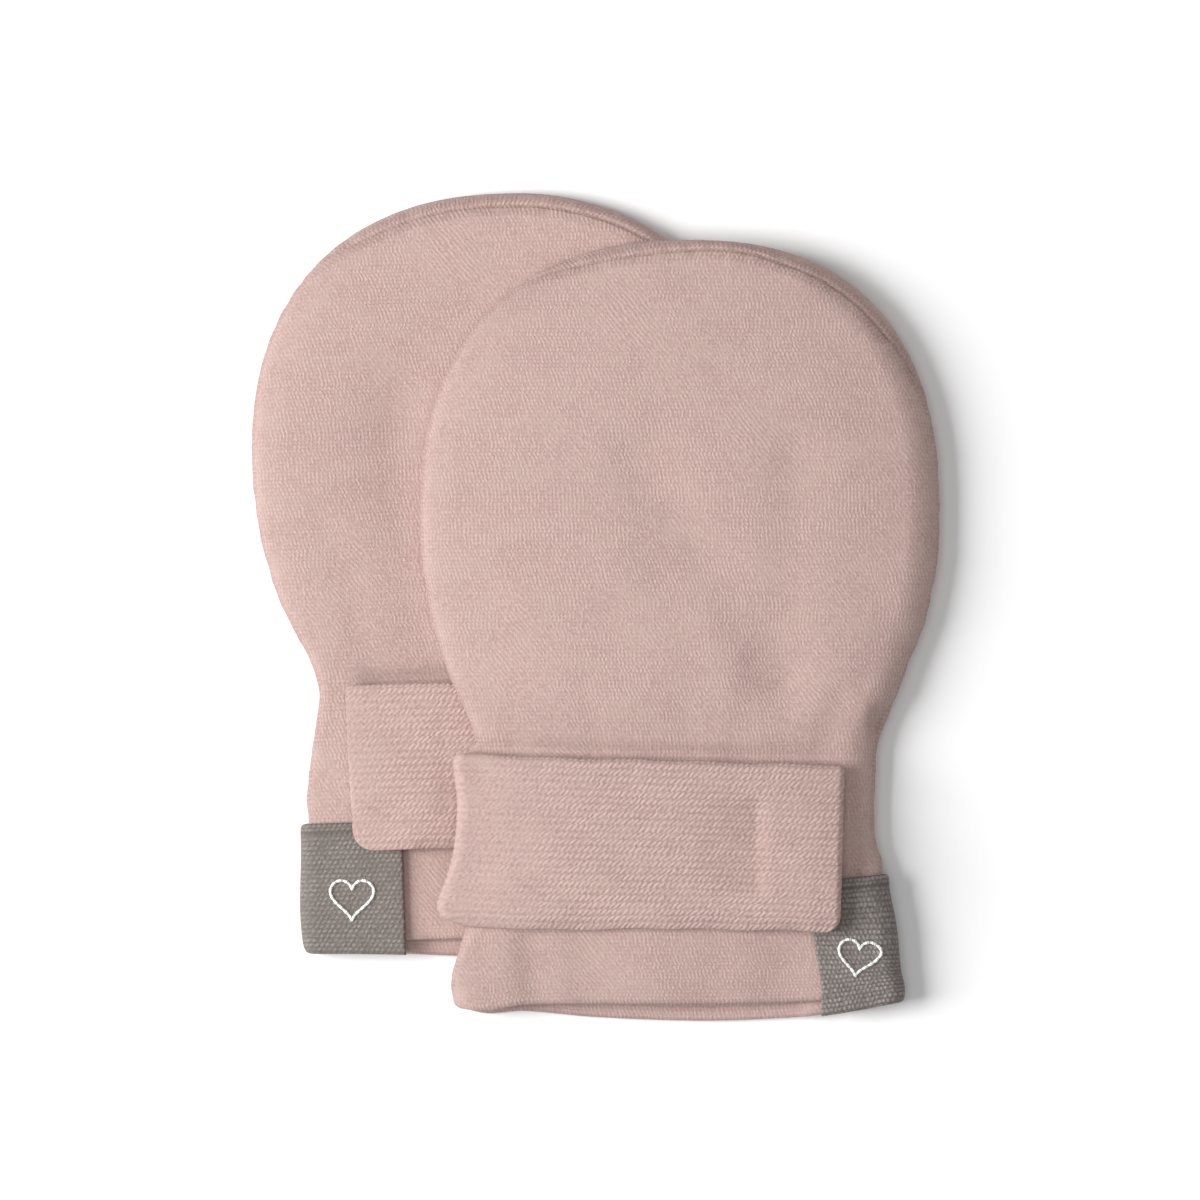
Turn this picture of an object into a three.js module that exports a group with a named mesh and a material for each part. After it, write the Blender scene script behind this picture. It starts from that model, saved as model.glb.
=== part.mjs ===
// A pair of scratch mittens for a baby, laid flat with the right one resting on the left one.
// Millimetres, +Z up. They lie on the plane z = 0 with their fingertips towards +Y.
// Each mitten is a front and a back panel, a wrist strap, the hook patch under it and a side label.
import * as THREE from "three";

const SEAM_GAP = 0.3;
const CLOTH_WALL = 1.6;
const LEAST_HOLLOW = 0.5;
const LABEL_WALL = 1.0;
const LABEL_ROOM = LABEL_WALL + SEAM_GAP;
const PATCH_WALL = 0.7;

const PINK = "#cbaea7";
const STRAP_PINK = "#c8aba4";
const LABEL_GREY = "#8d8681";
const HOOK_GREY = "#c9b3ad";

// Each mitten is described in its own frame: up runs from the front hem to the fingertips,
// and x from the side where the strap is sewn on, negative, to the side with the label, positive.
// outline: half widths of the flat shape, on the strap's root side and on its free side.
// hem: how far the hem of each panel bends away from straight.
const RIGHT = {
  name: "right",
  mirror: 1,
  tilt: 0,
  hemX: 13.9,
  hemY: -66.1,
  outline: [
    { up: -2.6, root: 33.6, free: 35.3 },
    { up: -0.6, root: 36.4, free: 35.6 },
    { up: 1.5, root: 37.6, free: 35.7 },
    { up: 5.3, root: 37.7, free: 35.1 },
    { up: 12.7, root: 35.6, free: 34.4 },
    { up: 21, root: 33.4, free: 32.6 },
    { up: 29.2, root: 32.4, free: 32.1 },
    { up: 39.1, root: 32.6, free: 32.3 },
    { up: 43.2, root: 33.6, free: 32.6 },
    { up: 47.4, root: 34.8, free: 34.1 },
    { up: 52.3, root: 37.1, free: 36.1 },
    { up: 57.3, root: 39.0, free: 37.9 },
    { up: 62.2, root: 40.5, free: 40.0 },
    { up: 67.2, root: 41.6, free: 41.3 },
    { up: 73.8, root: 42.6, free: 42.5 },
    { up: 81.2, root: 42.9, free: 42.8 },
  ],
  dome: { up: 81.2, tip: 126.4, lean: 1.6, rootSquareness: 2.4, freeSquareness: 2.35 },
  seamRoll: { rootStart: 112, rootFull: 123, freeStart: 86, freeFull: 102 },
  creases: [
    { fromX: -6, fromUp: 89, toX: 17, toUp: 55, depth: 0.7, width: 5.5 },
    { fromX: 19, fromUp: 90, toX: 16, toUp: 52, depth: 0.5, width: 4.5 },
    { fromX: -15, fromUp: -3, toX: -16, toUp: 12, depth: 0.9, width: 6 },
    { fromX: 18, fromUp: -3, toX: 17, toUp: 6, depth: 0.6, width: 5 },
  ],
  hem: [
    { x: -37, front: 0.4, back: 0.0 },
    { x: -32, front: -0.2, back: -1.1 },
    { x: -26, front: 0.4, back: -0.6 },
    { x: -14, front: 0.0, back: -1.6 },
    { x: 3, front: 0.0, back: -2.2 },
    { x: 16, front: 0.3, back: -1.8 },
    { x: 23, front: 0.8, back: -1.2 },
    { x: 30, front: 1.7, back: -0.1 },
    { x: 37, front: 2.8, back: 1.0 },
  ],
  label: { inner: 22.3, high: 20.8 },
  strap: { freeX: 27, low: 13.4, high: 41.8, corner: 1.4 },
  strapFold: [
    { up: 13, x: -36.0 },
    { up: 15, x: -39.2 },
    { up: 17, x: -40.1 },
    { up: 19, x: -39.6 },
    { up: 23, x: -38.2 },
    { up: 27, x: -37.3 },
    { up: 34, x: -36.8 },
    { up: 40, x: -37.4 },
    { up: 44, x: -37.2 },
  ],
};

const LEFT = {
  name: "left",
  mirror: -1,
  tilt: 1.74,
  hemX: -11.3,
  hemY: -54.9,
  outline: [
    { up: -2.6, root: 33.6, free: 34.6 },
    { up: -0.6, root: 36.4, free: 35.4 },
    { up: 1.5, root: 37.2, free: 35.8 },
    { up: 6.4, root: 37.2, free: 36.0 },
    { up: 14.7, root: 35.2, free: 35.6 },
    { up: 20, root: 33.6, free: 35.5 },
    { up: 27.9, root: 32.4, free: 35.3 },
    { up: 37.8, root: 32.6, free: 33.7 },
    { up: 41.1, root: 33.2, free: 33.2 },
    { up: 44.4, root: 34.2, free: 33.7 },
    { up: 47.7, root: 35.4, free: 34.8 },
    { up: 51, root: 37.0, free: 36.5 },
    { up: 57.6, root: 39.4, free: 39.5 },
    { up: 62.5, root: 40.9, free: 40.9 },
    { up: 67.5, root: 42.0, free: 42.1 },
    { up: 79, root: 43.0, free: 43.1 },
  ],
  dome: { up: 79, tip: 123.1, lean: 0, rootSquareness: 2.1, freeSquareness: 2.2 },
  seamRoll: { rootStart: 96, rootFull: 110, freeStart: 104, freeFull: 118 },
  creases: [
    { fromX: 30, fromUp: 70, toX: 22, toUp: 50, depth: 0.35, width: 4 },
    { fromX: 26, fromUp: -3, toX: 27, toUp: 12, depth: 0.3, width: 5 },
  ],
  hem: [
    { x: -37, front: 0.6, back: -0.8 },
    { x: -30, front: 0.4, back: -2.0 },
    { x: 0, front: 0.3, back: -2.4 },
    { x: 12, front: 0.4, back: -2.3 },
    { x: 22, front: 0.6, back: -1.6 },
    { x: 37, front: 1.0, back: -1.1 },
  ],
  label: { inner: 20.0, high: 19.9 },
  strap: { freeX: 28.4, low: 15.9, high: 43.2, corner: 3.4 },
  strapFold: [
    { up: 13, x: -36.4 },
    { up: 44, x: -36.4 },
  ],
};

// Thickness of a mitten along its middle, alone and where the other one presses on it.
const THICKNESS = [
  { up: -2.6, alone: 4.2, pressed: 3.4 },
  { up: 4, alone: 4.7, pressed: 3.4 },
  { up: 12, alone: 4.8, pressed: 3.0 },
  { up: 16, alone: 4.8, pressed: 2.7 },
  { up: 40.5, alone: 4.8, pressed: 2.7 },
  { up: 44.5, alone: 5.5, pressed: 3.3 },
  { up: 49.5, alone: 6.5, pressed: 4.2 },
  { up: 58, alone: 6.9, pressed: 4.6 },
  { up: 80, alone: 7.1, pressed: 4.6 },
  { up: 105, alone: 6.9, pressed: 4.6 },
  { up: 118, alone: 6.6, pressed: 4.6 },
  { up: 130, alone: 6.4, pressed: 4.6 },
];
const SHOULDER = 0.85;
const CROWN_REACH = 22;

// How far the right mitten's top is raised at its root side by what it lies on.
const LIFT = [
  { up: -2.6, height: 2.4 },
  { up: 6, height: 3.9 },
  { up: 13, height: 5.5 },
  { up: 40, height: 5.8 },
  { up: 55, height: 5.4 },
  { up: 90, height: 5.2 },
  { up: 130, height: 5.2 },
];
const STACK_HEIGHT = 5.25;
const STACK_FALL = 8;

// The roundings of the edge above and below its widest line.
const TOP_ROUNDING = 6.5;
const UNDER_ROUNDING = 3;
const SEAM_ROLL = 2.0;
const BACK_HEM = -2.4;

// What both straps share: they slant down to their free ends and rise where they are sewn on.
const STRAP = {
  slant: THREE.MathUtils.degToRad(1.8),
  rootRise: 2.2,
  thickness: 2.5,
  pressedThickness: 1.95,
};
// The patch is placed on the strap: low and high are shares of the strap's width.
const HOOK_PATCH = { fromX: -6.7, toX: 12.5, low: 0.28, high: 0.75, imprint: 0.5 };

// Rows of the meshes: heights of the rows up each side, then counts and shares of the way in.
const SIDE_UPS = [0, 4, 8, 12, 16, 29, 34, 38.5, 42, 45.5, 49, 53.5, 59, 65, 73];
const DOME_ROWS = 13;
const EDGE_STEPS = 4;
const FRONT_STEPS = [0.16, 0.36, 0.58, 0.8, 1];
const BACK_STEPS = [0.13, 0.26, 0.38, 0.5, 0.62, 0.74, 0.87, 1];

const clamp = (value, low, high) => Math.min(high, Math.max(low, value));
const mix = (from, to, share) => from + (to - from) * share;

function smooth(from, to, value) {
  const share = clamp((value - from) / (to - from), 0, 1);
  return share * share * (3 - 2 * share);
}

// The value of one column of a table, on a smooth curve through its rows.
function readTable(rows, key, at, column) {
  const last = rows.length - 1;
  if (at <= rows[0][key]) return rows[0][column];
  if (at >= rows[last][key]) return rows[last][column];
  let i = 0;
  while (rows[i + 1][key] < at) i += 1;
  const slopeAt = (k) => {
    if (k === 0 || k === last) return 0;
    return (rows[k + 1][column] - rows[k - 1][column]) / (rows[k + 1][key] - rows[k - 1][key]);
  };
  const span = rows[i + 1][key] - rows[i][key];
  const t = (at - rows[i][key]) / span;
  const t2 = t * t;
  const t3 = t2 * t;
  const start = rows[i][column] * (2 * t3 - 3 * t2 + 1) + slopeAt(i) * span * (t3 - 2 * t2 + t);
  const end = rows[i + 1][column] * (3 * t2 - 2 * t3) + slopeAt(i + 1) * span * (t3 - t2);
  return start + end;
}

// A mitten's own frame and the frame of the pair.
function toPair(mitten, x, up) {
  const turn = THREE.MathUtils.degToRad(mitten.tilt);
  const across = mitten.mirror * x;
  return {
    x: mitten.hemX + across * Math.cos(turn) - up * Math.sin(turn),
    y: mitten.hemY + across * Math.sin(turn) + up * Math.cos(turn),
  };
}

function toMitten(mitten, pairX, pairY) {
  const turn = THREE.MathUtils.degToRad(mitten.tilt);
  const dx = pairX - mitten.hemX;
  const dy = pairY - mitten.hemY;
  return {
    x: mitten.mirror * (dx * Math.cos(turn) + dy * Math.sin(turn)),
    up: -dx * Math.sin(turn) + dy * Math.cos(turn),
  };
}

// Outline
function halfWidth(mitten, side, up) {
  return readTable(mitten.outline, "up", Math.min(up, mitten.dome.up), side);
}

function domeLean(mitten, up) {
  const { dome } = mitten;
  const share = Math.max(0, (up - dome.up) / (dome.tip - dome.up));
  return dome.lean * share * share;
}

function squareness(mitten, side) {
  return side === "root" ? mitten.dome.rootSquareness : mitten.dome.freeSquareness;
}

// How far inside the outline a place lies, along the line to the mitten's middle; negative outside.
function insetAt(mitten, x, up) {
  const { dome } = mitten;
  const side = x < domeLean(mitten, up) ? "root" : "free";
  if (up <= dome.up) return halfWidth(mitten, side, up) - Math.abs(x);
  const dx = Math.abs(x - domeLean(mitten, up));
  const dy = up - dome.up;
  const power = squareness(mitten, side);
  const across = halfWidth(mitten, side, dome.up);
  const tall = dome.tip - dome.up;
  const share = Math.pow(Math.pow(dx / across, power) + Math.pow(dy / tall, power), 1 / power);
  const reach = Math.hypot(dx, dy);
  return reach / share - reach;
}

// Distance outside a mitten and its strap's fold, 0 anywhere on it.
function distanceOutside(mitten, x, up) {
  const beyondFold = Math.max(0, mitten.strapFold[0].x - 0.4 - x);
  const beyondWidth = Math.max(0, mitten.strap.low - 1 - up, up - mitten.strap.high - 4);
  const fromStrap = x < 0 ? Math.hypot(beyondFold, beyondWidth) : Infinity;
  return Math.min(fromStrap, Math.max(0, -insetAt(mitten, x, up), BACK_HEM - up));
}

// Heights
function pressShare(mitten, x, up) {
  if (mitten !== LEFT) return 0;
  const at = toPair(LEFT, x, up);
  const inRight = toMitten(RIGHT, at.x, at.y);
  const below = Math.max(0, -1 - inRight.up);
  return smooth(-28, 3, insetAt(RIGHT, inRight.x, inRight.up) - below);
}

function labelWindow(mitten, x, up) {
  const { label } = mitten;
  return smooth(label.inner - 4, label.inner - 1, x) * (1 - smooth(label.high + 1, label.high + 4, up));
}

// Height of the underside away from the rounded edge.
function underside(mitten, x, up) {
  const room = LABEL_ROOM * labelWindow(mitten, x, up);
  if (mitten === LEFT) return room;
  const at = toPair(RIGHT, x, up);
  const onLeft = toMitten(LEFT, at.x, at.y);
  return room + STACK_HEIGHT * (1 - smooth(0, STACK_FALL, distanceOutside(LEFT, onLeft.x, onLeft.up)));
}

function creaseDepth(mitten, x, up) {
  let depth = 0;
  for (const crease of mitten.creases) {
    const runX = crease.toX - crease.fromX;
    const runUp = crease.toUp - crease.fromUp;
    const along = ((x - crease.fromX) * runX + (up - crease.fromUp) * runUp) / (runX ** 2 + runUp ** 2);
    const share = clamp(along, 0, 1);
    const off = Math.hypot(x - crease.fromX - share * runX, up - crease.fromUp - share * runUp);
    depth += crease.depth * Math.exp(-((off / crease.width) ** 2));
  }
  return depth;
}

// Height of the top away from the rounded edge.
function topside(mitten, x, up) {
  const alone = readTable(THICKNESS, "up", up, "alone");
  const pressed = readTable(THICKNESS, "up", up, "pressed");
  const press = pressShare(mitten, x, up);
  const inset = clamp(insetAt(mitten, x, up) / CROWN_REACH, 0, 1);
  const crown = mix(SHOULDER, 1, Math.sin((inset * Math.PI) / 2));
  let height = mix(alone * crown, pressed, press);
  if (mitten === RIGHT) {
    const across = clamp((x + 43) / 86, 0, 1);
    height += readTable(LIFT, "up", up, "height") * (1 - across * across);
  }
  return height - creaseDepth(mitten, x, up) * (1 - press);
}

// Where the widest line of the edge lies, as a share of the thickness.
function edgeLevel(whole) {
  return mix(0.5, 0.42, smooth(4, 6.5, whole));
}

function wallAt(mitten, x, up) {
  const whole = topside(mitten, x, up) - underside(mitten, x, up);
  return Math.min(CLOTH_WALL, (whole - LEAST_HOLLOW) / 2);
}

// Stations run along the outline from the hem on the root side, over the dome, to the other hem.
// Each has its place on the outline and the point of the mitten's middle that it faces.
function stationsOf(mitten, isFront) {
  const { dome } = mitten;
  const labelTop = mitten.label.high;
  const sideUps = [...SIDE_UPS, labelTop + 0.9, labelTop + 4].sort((a, b) => a - b);
  if (!isFront) sideUps.unshift(-1);
  const tall = dome.tip - dome.up;
  const half = (side) => {
    const sign = side === "root" ? -1 : 1;
    const list = [];
    for (const up of sideUps) {
      list.push({ side, x: sign * halfWidth(mitten, side, up), up, middleUp: up });
    }
    const power = 2 / squareness(mitten, side);
    for (let i = 0; i < DOME_ROWS; i += 1) {
      const angle = (i / DOME_ROWS) * (Math.PI / 2);
      const up = dome.up + tall * Math.pow(Math.sin(angle), power);
      const across = halfWidth(mitten, side, dome.up) * Math.pow(Math.cos(angle), power);
      list.push({ side, x: sign * across + domeLean(mitten, up), up, middleUp: dome.up });
    }
    return list;
  };
  const tip = { side: "free", x: dome.lean, up: dome.tip, middleUp: dome.up };
  return [...half("root"), tip, ...half("free").reverse()];
}

// The roundings of the edge at a station, from the thickness at its shoulder.
function edgeShape(mitten, station) {
  const reach = Math.hypot(station.x, station.up - station.middleUp);
  const inward = { x: -station.x / reach, up: (station.middleUp - station.up) / reach };
  const shoulderX = station.x + inward.x * 5;
  const shoulderUp = station.up + inward.up * 5;
  const whole = topside(mitten, shoulderX, shoulderUp) - underside(mitten, shoulderX, shoulderUp);
  const tightest = wallAt(mitten, shoulderX, shoulderUp) + 0.35;
  const above = whole * (1 - edgeLevel(whole));
  const below = whole * edgeLevel(whole);
  return {
    reach,
    inward,
    above,
    below,
    topRound: Math.min(TOP_ROUNDING, (above * above) / tightest),
    underRound: Math.min(UNDER_ROUNDING, (below * below) / tightest),
  };
}

// A point of the section at a station: on the top for angles above 0, on the underside below 0.
// outward moves it off the cloth along its normal, along moves it along the section.
function edgePoint(mitten, station, shape, angle, outward, along = 0) {
  const onTop = angle >= 0;
  const round = onTop ? shape.topRound : shape.underRound;
  const rise = onTop ? shape.above : shape.below;
  const inset = round * (1 - Math.cos(angle));
  const norm = Math.hypot(Math.cos(angle) / round, Math.sin(angle) / rise);
  const normalIn = -Math.cos(angle) / round / norm;
  const normalUp = Math.sin(angle) / rise / norm;
  const placeX = station.x + shape.inward.x * inset;
  const placeUp = station.up + shape.inward.up * inset;
  const under = underside(mitten, placeX, placeUp);
  const top = topside(mitten, placeX, placeUp);
  const level = mix(under, top, edgeLevel(top - under));
  const height = onTop
    ? mix(level, top, Math.sin(angle))
    : mix(level, under, -Math.sin(angle));
  const moved = inset + outward * normalIn + along * normalUp;
  return {
    x: station.x + shape.inward.x * moved,
    up: station.up + shape.inward.up * moved,
    z: height + outward * normalUp - along * normalIn,
  };
}

// A point further in, where the cloth lies flat: inset is its distance from the outline.
function flatPoint(mitten, station, shape, inset, onTop, outward) {
  const x = station.x + shape.inward.x * inset;
  const up = station.up + shape.inward.up * inset;
  const z = onTop ? topside(mitten, x, up) + outward : underside(mitten, x, up) - outward;
  return { x, up, z };
}

// The seam lies on the rounded edge: on its widest line, and rolled inwards over the fingertips.
function seamAngle(mitten, station, shape) {
  const roll = mitten.seamRoll;
  const start = roll[station.side + "Start"];
  const full = roll[station.side + "Full"];
  const inset = SEAM_ROLL * smooth(start, full, station.up);
  return Math.acos(1 - Math.min(0.55, inset / shape.topRound));
}

// Insets of the flat part of a section. Beside the label two of them bound the step that it needs.
function flatInsets(mitten, station, first, reach, isFront) {
  const steps = isFront ? FRONT_STEPS : BACK_STEPS;
  const insets = [first, ...steps.map((share) => mix(first, reach, share))];
  if (station.side === "free" && station.up < mitten.label.high + 5) {
    const labelReach = station.x - mitten.label.inner;
    const after = isFront ? 2 : 3;
    insets[after] = labelReach + 0.6;
    insets[after + 1] = labelReach + 4;
  }
  return insets;
}

// The wall of one panel at a station, as its outer and inner points from the seam to the middle.
function panelSection(mitten, station, isFront) {
  const shape = edgeShape(mitten, station);
  const seam = seamAngle(mitten, station, shape);
  const end = isFront ? Math.PI / 2 : -Math.PI / 2;
  const steps = isFront ? EDGE_STEPS : EDGE_STEPS + 2;
  const firstInset = isFront ? shape.topRound : shape.underRound;
  const wallHere = wallAt(mitten, station.x + shape.inward.x * 3, station.up + shape.inward.up * 3);
  const outer = [];
  const inner = [];
  for (let i = 0; i < steps; i += 1) {
    const angle = mix(seam, end, i / steps);
    const shift = i === 0 ? (isFront ? SEAM_GAP / 2 : -SEAM_GAP / 2) : 0;
    outer.push(edgePoint(mitten, station, shape, angle, 0, shift));
    inner.push(edgePoint(mitten, station, shape, angle, -wallHere, shift));
  }
  for (const inset of flatInsets(mitten, station, firstInset, shape.reach, isFront)) {
    const at = flatPoint(mitten, station, shape, inset, isFront, 0);
    const wall = mix(wallHere, wallAt(mitten, at.x, at.up), clamp((inset - firstInset) / 4, 0, 1));
    outer.push(at);
    inner.push(flatPoint(mitten, station, shape, inset, isFront, -wall));
  }
  return { outer, inner };
}

// Meshes
class SolidBuilder {
  constructor() {
    this.points = [];
    this.index = [];
    this.known = new Map();
  }

  vertex(point) {
    const key = [point.x, point.y, point.z].map((value) => Math.round(value * 500)).join(" ");
    if (!this.known.has(key)) {
      this.known.set(key, this.points.length / 3);
      this.points.push(point.x, point.y, point.z);
    }
    return this.known.get(key);
  }

  triangle(a, b, c) {
    const [i, j, k] = [this.vertex(a), this.vertex(b), this.vertex(c)];
    if (i !== j && j !== k && k !== i) this.index.push(i, j, k);
  }

  quad(a, b, c, d) {
    this.triangle(a, b, c);
    this.triangle(a, c, d);
  }

  // A net of quads over rows of points, seen from its front or its back.
  net(rows, reversed) {
    for (let i = 0; i + 1 < rows.length; i += 1) {
      for (let j = 0; j + 1 < rows[i].length; j += 1) {
        const corners = [rows[i][j], rows[i + 1][j], rows[i + 1][j + 1], rows[i][j + 1]];
        if (reversed) corners.reverse();
        this.quad(...corners);
      }
    }
  }

  geometry() {
    const geometry = new THREE.BufferGeometry();
    geometry.setAttribute("position", new THREE.Float32BufferAttribute(this.points, 3));
    geometry.setIndex(this.volume() < 0 ? this.index.slice().reverse() : this.index);
    geometry.computeVertexNormals();
    return geometry;
  }

  volume() {
    const at = (i) => new THREE.Vector3().fromArray(this.points, this.index[i] * 3);
    let sum = 0;
    for (let i = 0; i < this.index.length; i += 3) {
      sum += at(i).dot(at(i + 1).cross(at(i + 2)));
    }
    return sum / 6;
  }
}

function clothMesh(name, builder, color, roughness) {
  const material = new THREE.MeshStandardMaterial({ color, roughness, metalness: 0 });
  const mesh = new THREE.Mesh(builder.geometry(), material);
  mesh.name = name;
  return mesh;
}

const inPair = (mitten, point) => ({ ...toPair(mitten, point.x, point.up), z: point.z });

// Hem line
// Each panel's hem bends a little. The bend fades out above the hem.
function bendHem(mitten, point, panel) {
  const rowUp = panel === "front" ? 0 : -1;
  const fade = 1 - smooth(0, 9, point.up);
  return { ...point, up: point.up + (readTable(mitten.hem, "x", point.x, panel) - rowUp) * fade };
}

function panelMesh(mitten, isFront) {
  const sections = stationsOf(mitten, isFront).map((station) => panelSection(mitten, station, isFront));
  const place = (point) => inPair(mitten, bendHem(mitten, point, isFront ? "front" : "back"));
  const outer = sections.map((section) => section.outer.map(place));
  const inner = sections.map((section) => section.inner.map(place));
  const builder = new SolidBuilder();
  builder.net(outer, false);
  builder.net(inner, true);
  builder.net(outer.map((row, i) => [inner[i][0], row[0]]), false);
  const lastRow = outer.length - 1;
  builder.net([outer[0], inner[0]], true);
  builder.net([outer[lastRow], inner[lastRow]], false);
  const name = `${isFront ? "front" : "back"}_panel_${mitten.name}`;
  return clothMesh(name, builder, PINK, 0.92);
}

// A sheet closed all round: two nets of the same size and the four strips between their borders.
function closedSheet(name, top, bottom, color, roughness) {
  const builder = new SolidBuilder();
  const last = top.length - 1;
  const end = top[0].length - 1;
  builder.net(top, false);
  builder.net(bottom, true);
  builder.net(top.map((row, i) => [bottom[i][0], row[0]]), false);
  builder.net(top.map((row, i) => [row[end], bottom[i][end]]), false);
  builder.net([top[0], bottom[0]], true);
  builder.net([top[last], bottom[last]], false);
  return clothMesh(name, builder, color, roughness);
}

// Strap
// Places on the strap: across runs over its width from 0 at its lower edge to 1.
const STRAP_ACROSS = [0, 0.02, 0.06, 0.14, 0.23, 0.275, 0.38, 0.51, 0.64, 0.755, 0.8, 0.9, 0.94, 0.98, 1];
const STRAP_RUN = [-30, -25, -20, -15, -11, -8.2, -6.8, -2, 3, 8, 12.6, 14, 16, 19, 22, 24.5, 26.2];
const STRAP_SEAM_STEPS = 2;
const STRAP_TURN_STEPS = 6;
const STRAP_SEAM_SPACE = 0.5;

function strapUp(mitten, across, x, atSeam) {
  const slanted = -Math.tan(STRAP.slant) * (x + 30);
  const straight = mix(mitten.strap.low, mitten.strap.high, across) + slanted;
  return straight + (atSeam ? STRAP.rootRise * across : 0);
}

// How thick the rounded edge of the strap is at a distance from that edge.
function edgeRound(distance, round) {
  if (distance >= round) return 1;
  return Math.max(0.25, Math.sqrt(1 - (1 - distance / round) ** 2));
}

// 1 over the hook patch and 0 beyond a margin round it.
function patchWindow(mitten, x, across, margin) {
  const width = mitten.strap.high - mitten.strap.low;
  const sideways = Math.max(HOOK_PATCH.fromX - x, x - HOOK_PATCH.toX);
  const upwards = Math.max(HOOK_PATCH.low - across, across - HOOK_PATCH.high) * width;
  return (1 - smooth(0, margin, sideways)) * (1 - smooth(0, margin, upwards));
}

// Height of the strap's lower face on top of the mitten and of the label under it.
function strapRest(mitten, x, up) {
  return topside(mitten, x, up) + SEAM_GAP + LABEL_ROOM * labelWindow(mitten, x, up);
}

function strapSection(mitten, across) {
  const { freeX, corner } = mitten.strap;
  const width = mitten.strap.high - mitten.strap.low;
  const thin = edgeRound(Math.min(across, 1 - across) * width, 1.1);
  const foldUp = strapUp(mitten, across, -37, false);
  const foldX = readTable(mitten.strapFold, "up", foldUp, "x");
  const seamUp = strapUp(mitten, across, -34, true);
  const seamX = -halfWidth(mitten, "root", seamUp) - STRAP_SEAM_SPACE;
  const edgeUnder = underside(mitten, seamX, seamUp);
  const edgeTop = topside(mitten, seamX, seamUp);
  const seamZ = mix(edgeUnder, edgeTop, edgeLevel(edgeTop - edgeUnder));
  const press = pressShare(mitten, foldX, foldUp);
  const thick = mix(STRAP.thickness, STRAP.pressedThickness, press);
  const turnTop = strapRest(mitten, foldX + 3, foldUp) + thick / 2;
  const turnRadius = (turnTop - seamZ) / 2;
  const turnX = Math.min(foldX + turnRadius + thick / 2, seamX - 0.2);
  const top = [];
  const bottom = [];
  const put = (x, up, z, normalX, normalZ, half) => {
    top.push({ x: x + normalX * half, up, z: z + normalZ * half });
    bottom.push({ x: x - normalX * half, up, z: z - normalZ * half });
  };
  for (let i = 0; i <= STRAP_SEAM_STEPS; i += 1) {
    const share = i / (STRAP_SEAM_STEPS + 1);
    put(mix(seamX, turnX, share), mix(seamUp, foldUp, share), seamZ, 0, -1, (thick / 2) * thin);
  }
  for (let i = 0; i <= STRAP_TURN_STEPS; i += 1) {
    const angle = (i / STRAP_TURN_STEPS) * Math.PI;
    const normalX = -Math.sin(angle);
    const normalZ = -Math.cos(angle);
    const x = turnX + normalX * turnRadius;
    put(x, foldUp, seamZ + turnRadius + normalZ * turnRadius, normalX, normalZ, (thick / 2) * thin);
  }
  const fromLow = clamp((across * width) / corner, 0, 1);
  const fromHigh = clamp(((1 - across) * width) / 1.3, 0, 1);
  const cut = corner * (1 - Math.sqrt(1 - (1 - fromLow) ** 2)) + 1.3 * (1 - Math.sqrt(1 - (1 - fromHigh) ** 2));
  const endX = freeX - 0.8 * (1 - across) - cut;
  for (const runX of [...STRAP_RUN, freeX]) {
    const x = mix(turnX, endX, (runX - turnX) / (freeX - turnX));
    const up = strapUp(mitten, across, x, false);
    const rest = strapRest(mitten, x, up);
    const pressHere = pressShare(mitten, x, up);
    const full = mix(STRAP.thickness, STRAP.pressedThickness, pressHere);
    const low = rest + (PATCH_WALL + 0.25) * patchWindow(mitten, x, across, 1.2);
    const high = rest + full - HOOK_PATCH.imprint * patchWindow(mitten, x, across, 1.6) * (1 - pressHere);
    const endThin = edgeRound(freeX - runX, 0.8);
    put(x, up, (high + low) / 2, 0, 1, ((high - low) / 2) * Math.min(thin, endThin));
  }
  return { top, bottom };
}

function strapMesh(mitten) {
  const sections = STRAP_ACROSS.map((across) => strapSection(mitten, across));
  const top = sections.map((section) => section.top.map((point) => inPair(mitten, point)));
  const bottom = sections.map((section) => section.bottom.map((point) => inPair(mitten, point)));
  return closedSheet(`strap_${mitten.name}`, top, bottom, STRAP_PINK, 0.92);
}

// The hook patch lies in the shallow recess under the strap.
function hookPatchMesh(mitten) {
  const top = [];
  const bottom = [];
  for (let i = 0; i <= 4; i += 1) {
    const rowTop = [];
    const rowBottom = [];
    for (let j = 0; j <= 6; j += 1) {
      const x = mix(HOOK_PATCH.fromX + 0.6, HOOK_PATCH.toX - 0.6, j / 6);
      const up = strapUp(mitten, mix(HOOK_PATCH.low + 0.02, HOOK_PATCH.high - 0.02, i / 4), x, false);
      const rest = topside(mitten, x, up) + SEAM_GAP;
      rowTop.push({ ...toPair(mitten, x, up), z: rest + PATCH_WALL });
      rowBottom.push({ ...toPair(mitten, x, up), z: rest });
    }
    top.push(rowTop);
    bottom.push(rowBottom);
  }
  return closedSheet(`hook_patch_${mitten.name}`, top, bottom, HOOK_GREY, 0.7);
}

// Label
// A folded tape round the free edge of the cuff: both of its flaps reach in equally far.
const LABEL_LOW = -1.15;
const LABEL_ROWS = 7;
const LABEL_FLAP_STEPS = 4;
const LABEL_EDGE_STEPS = 8;

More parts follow.
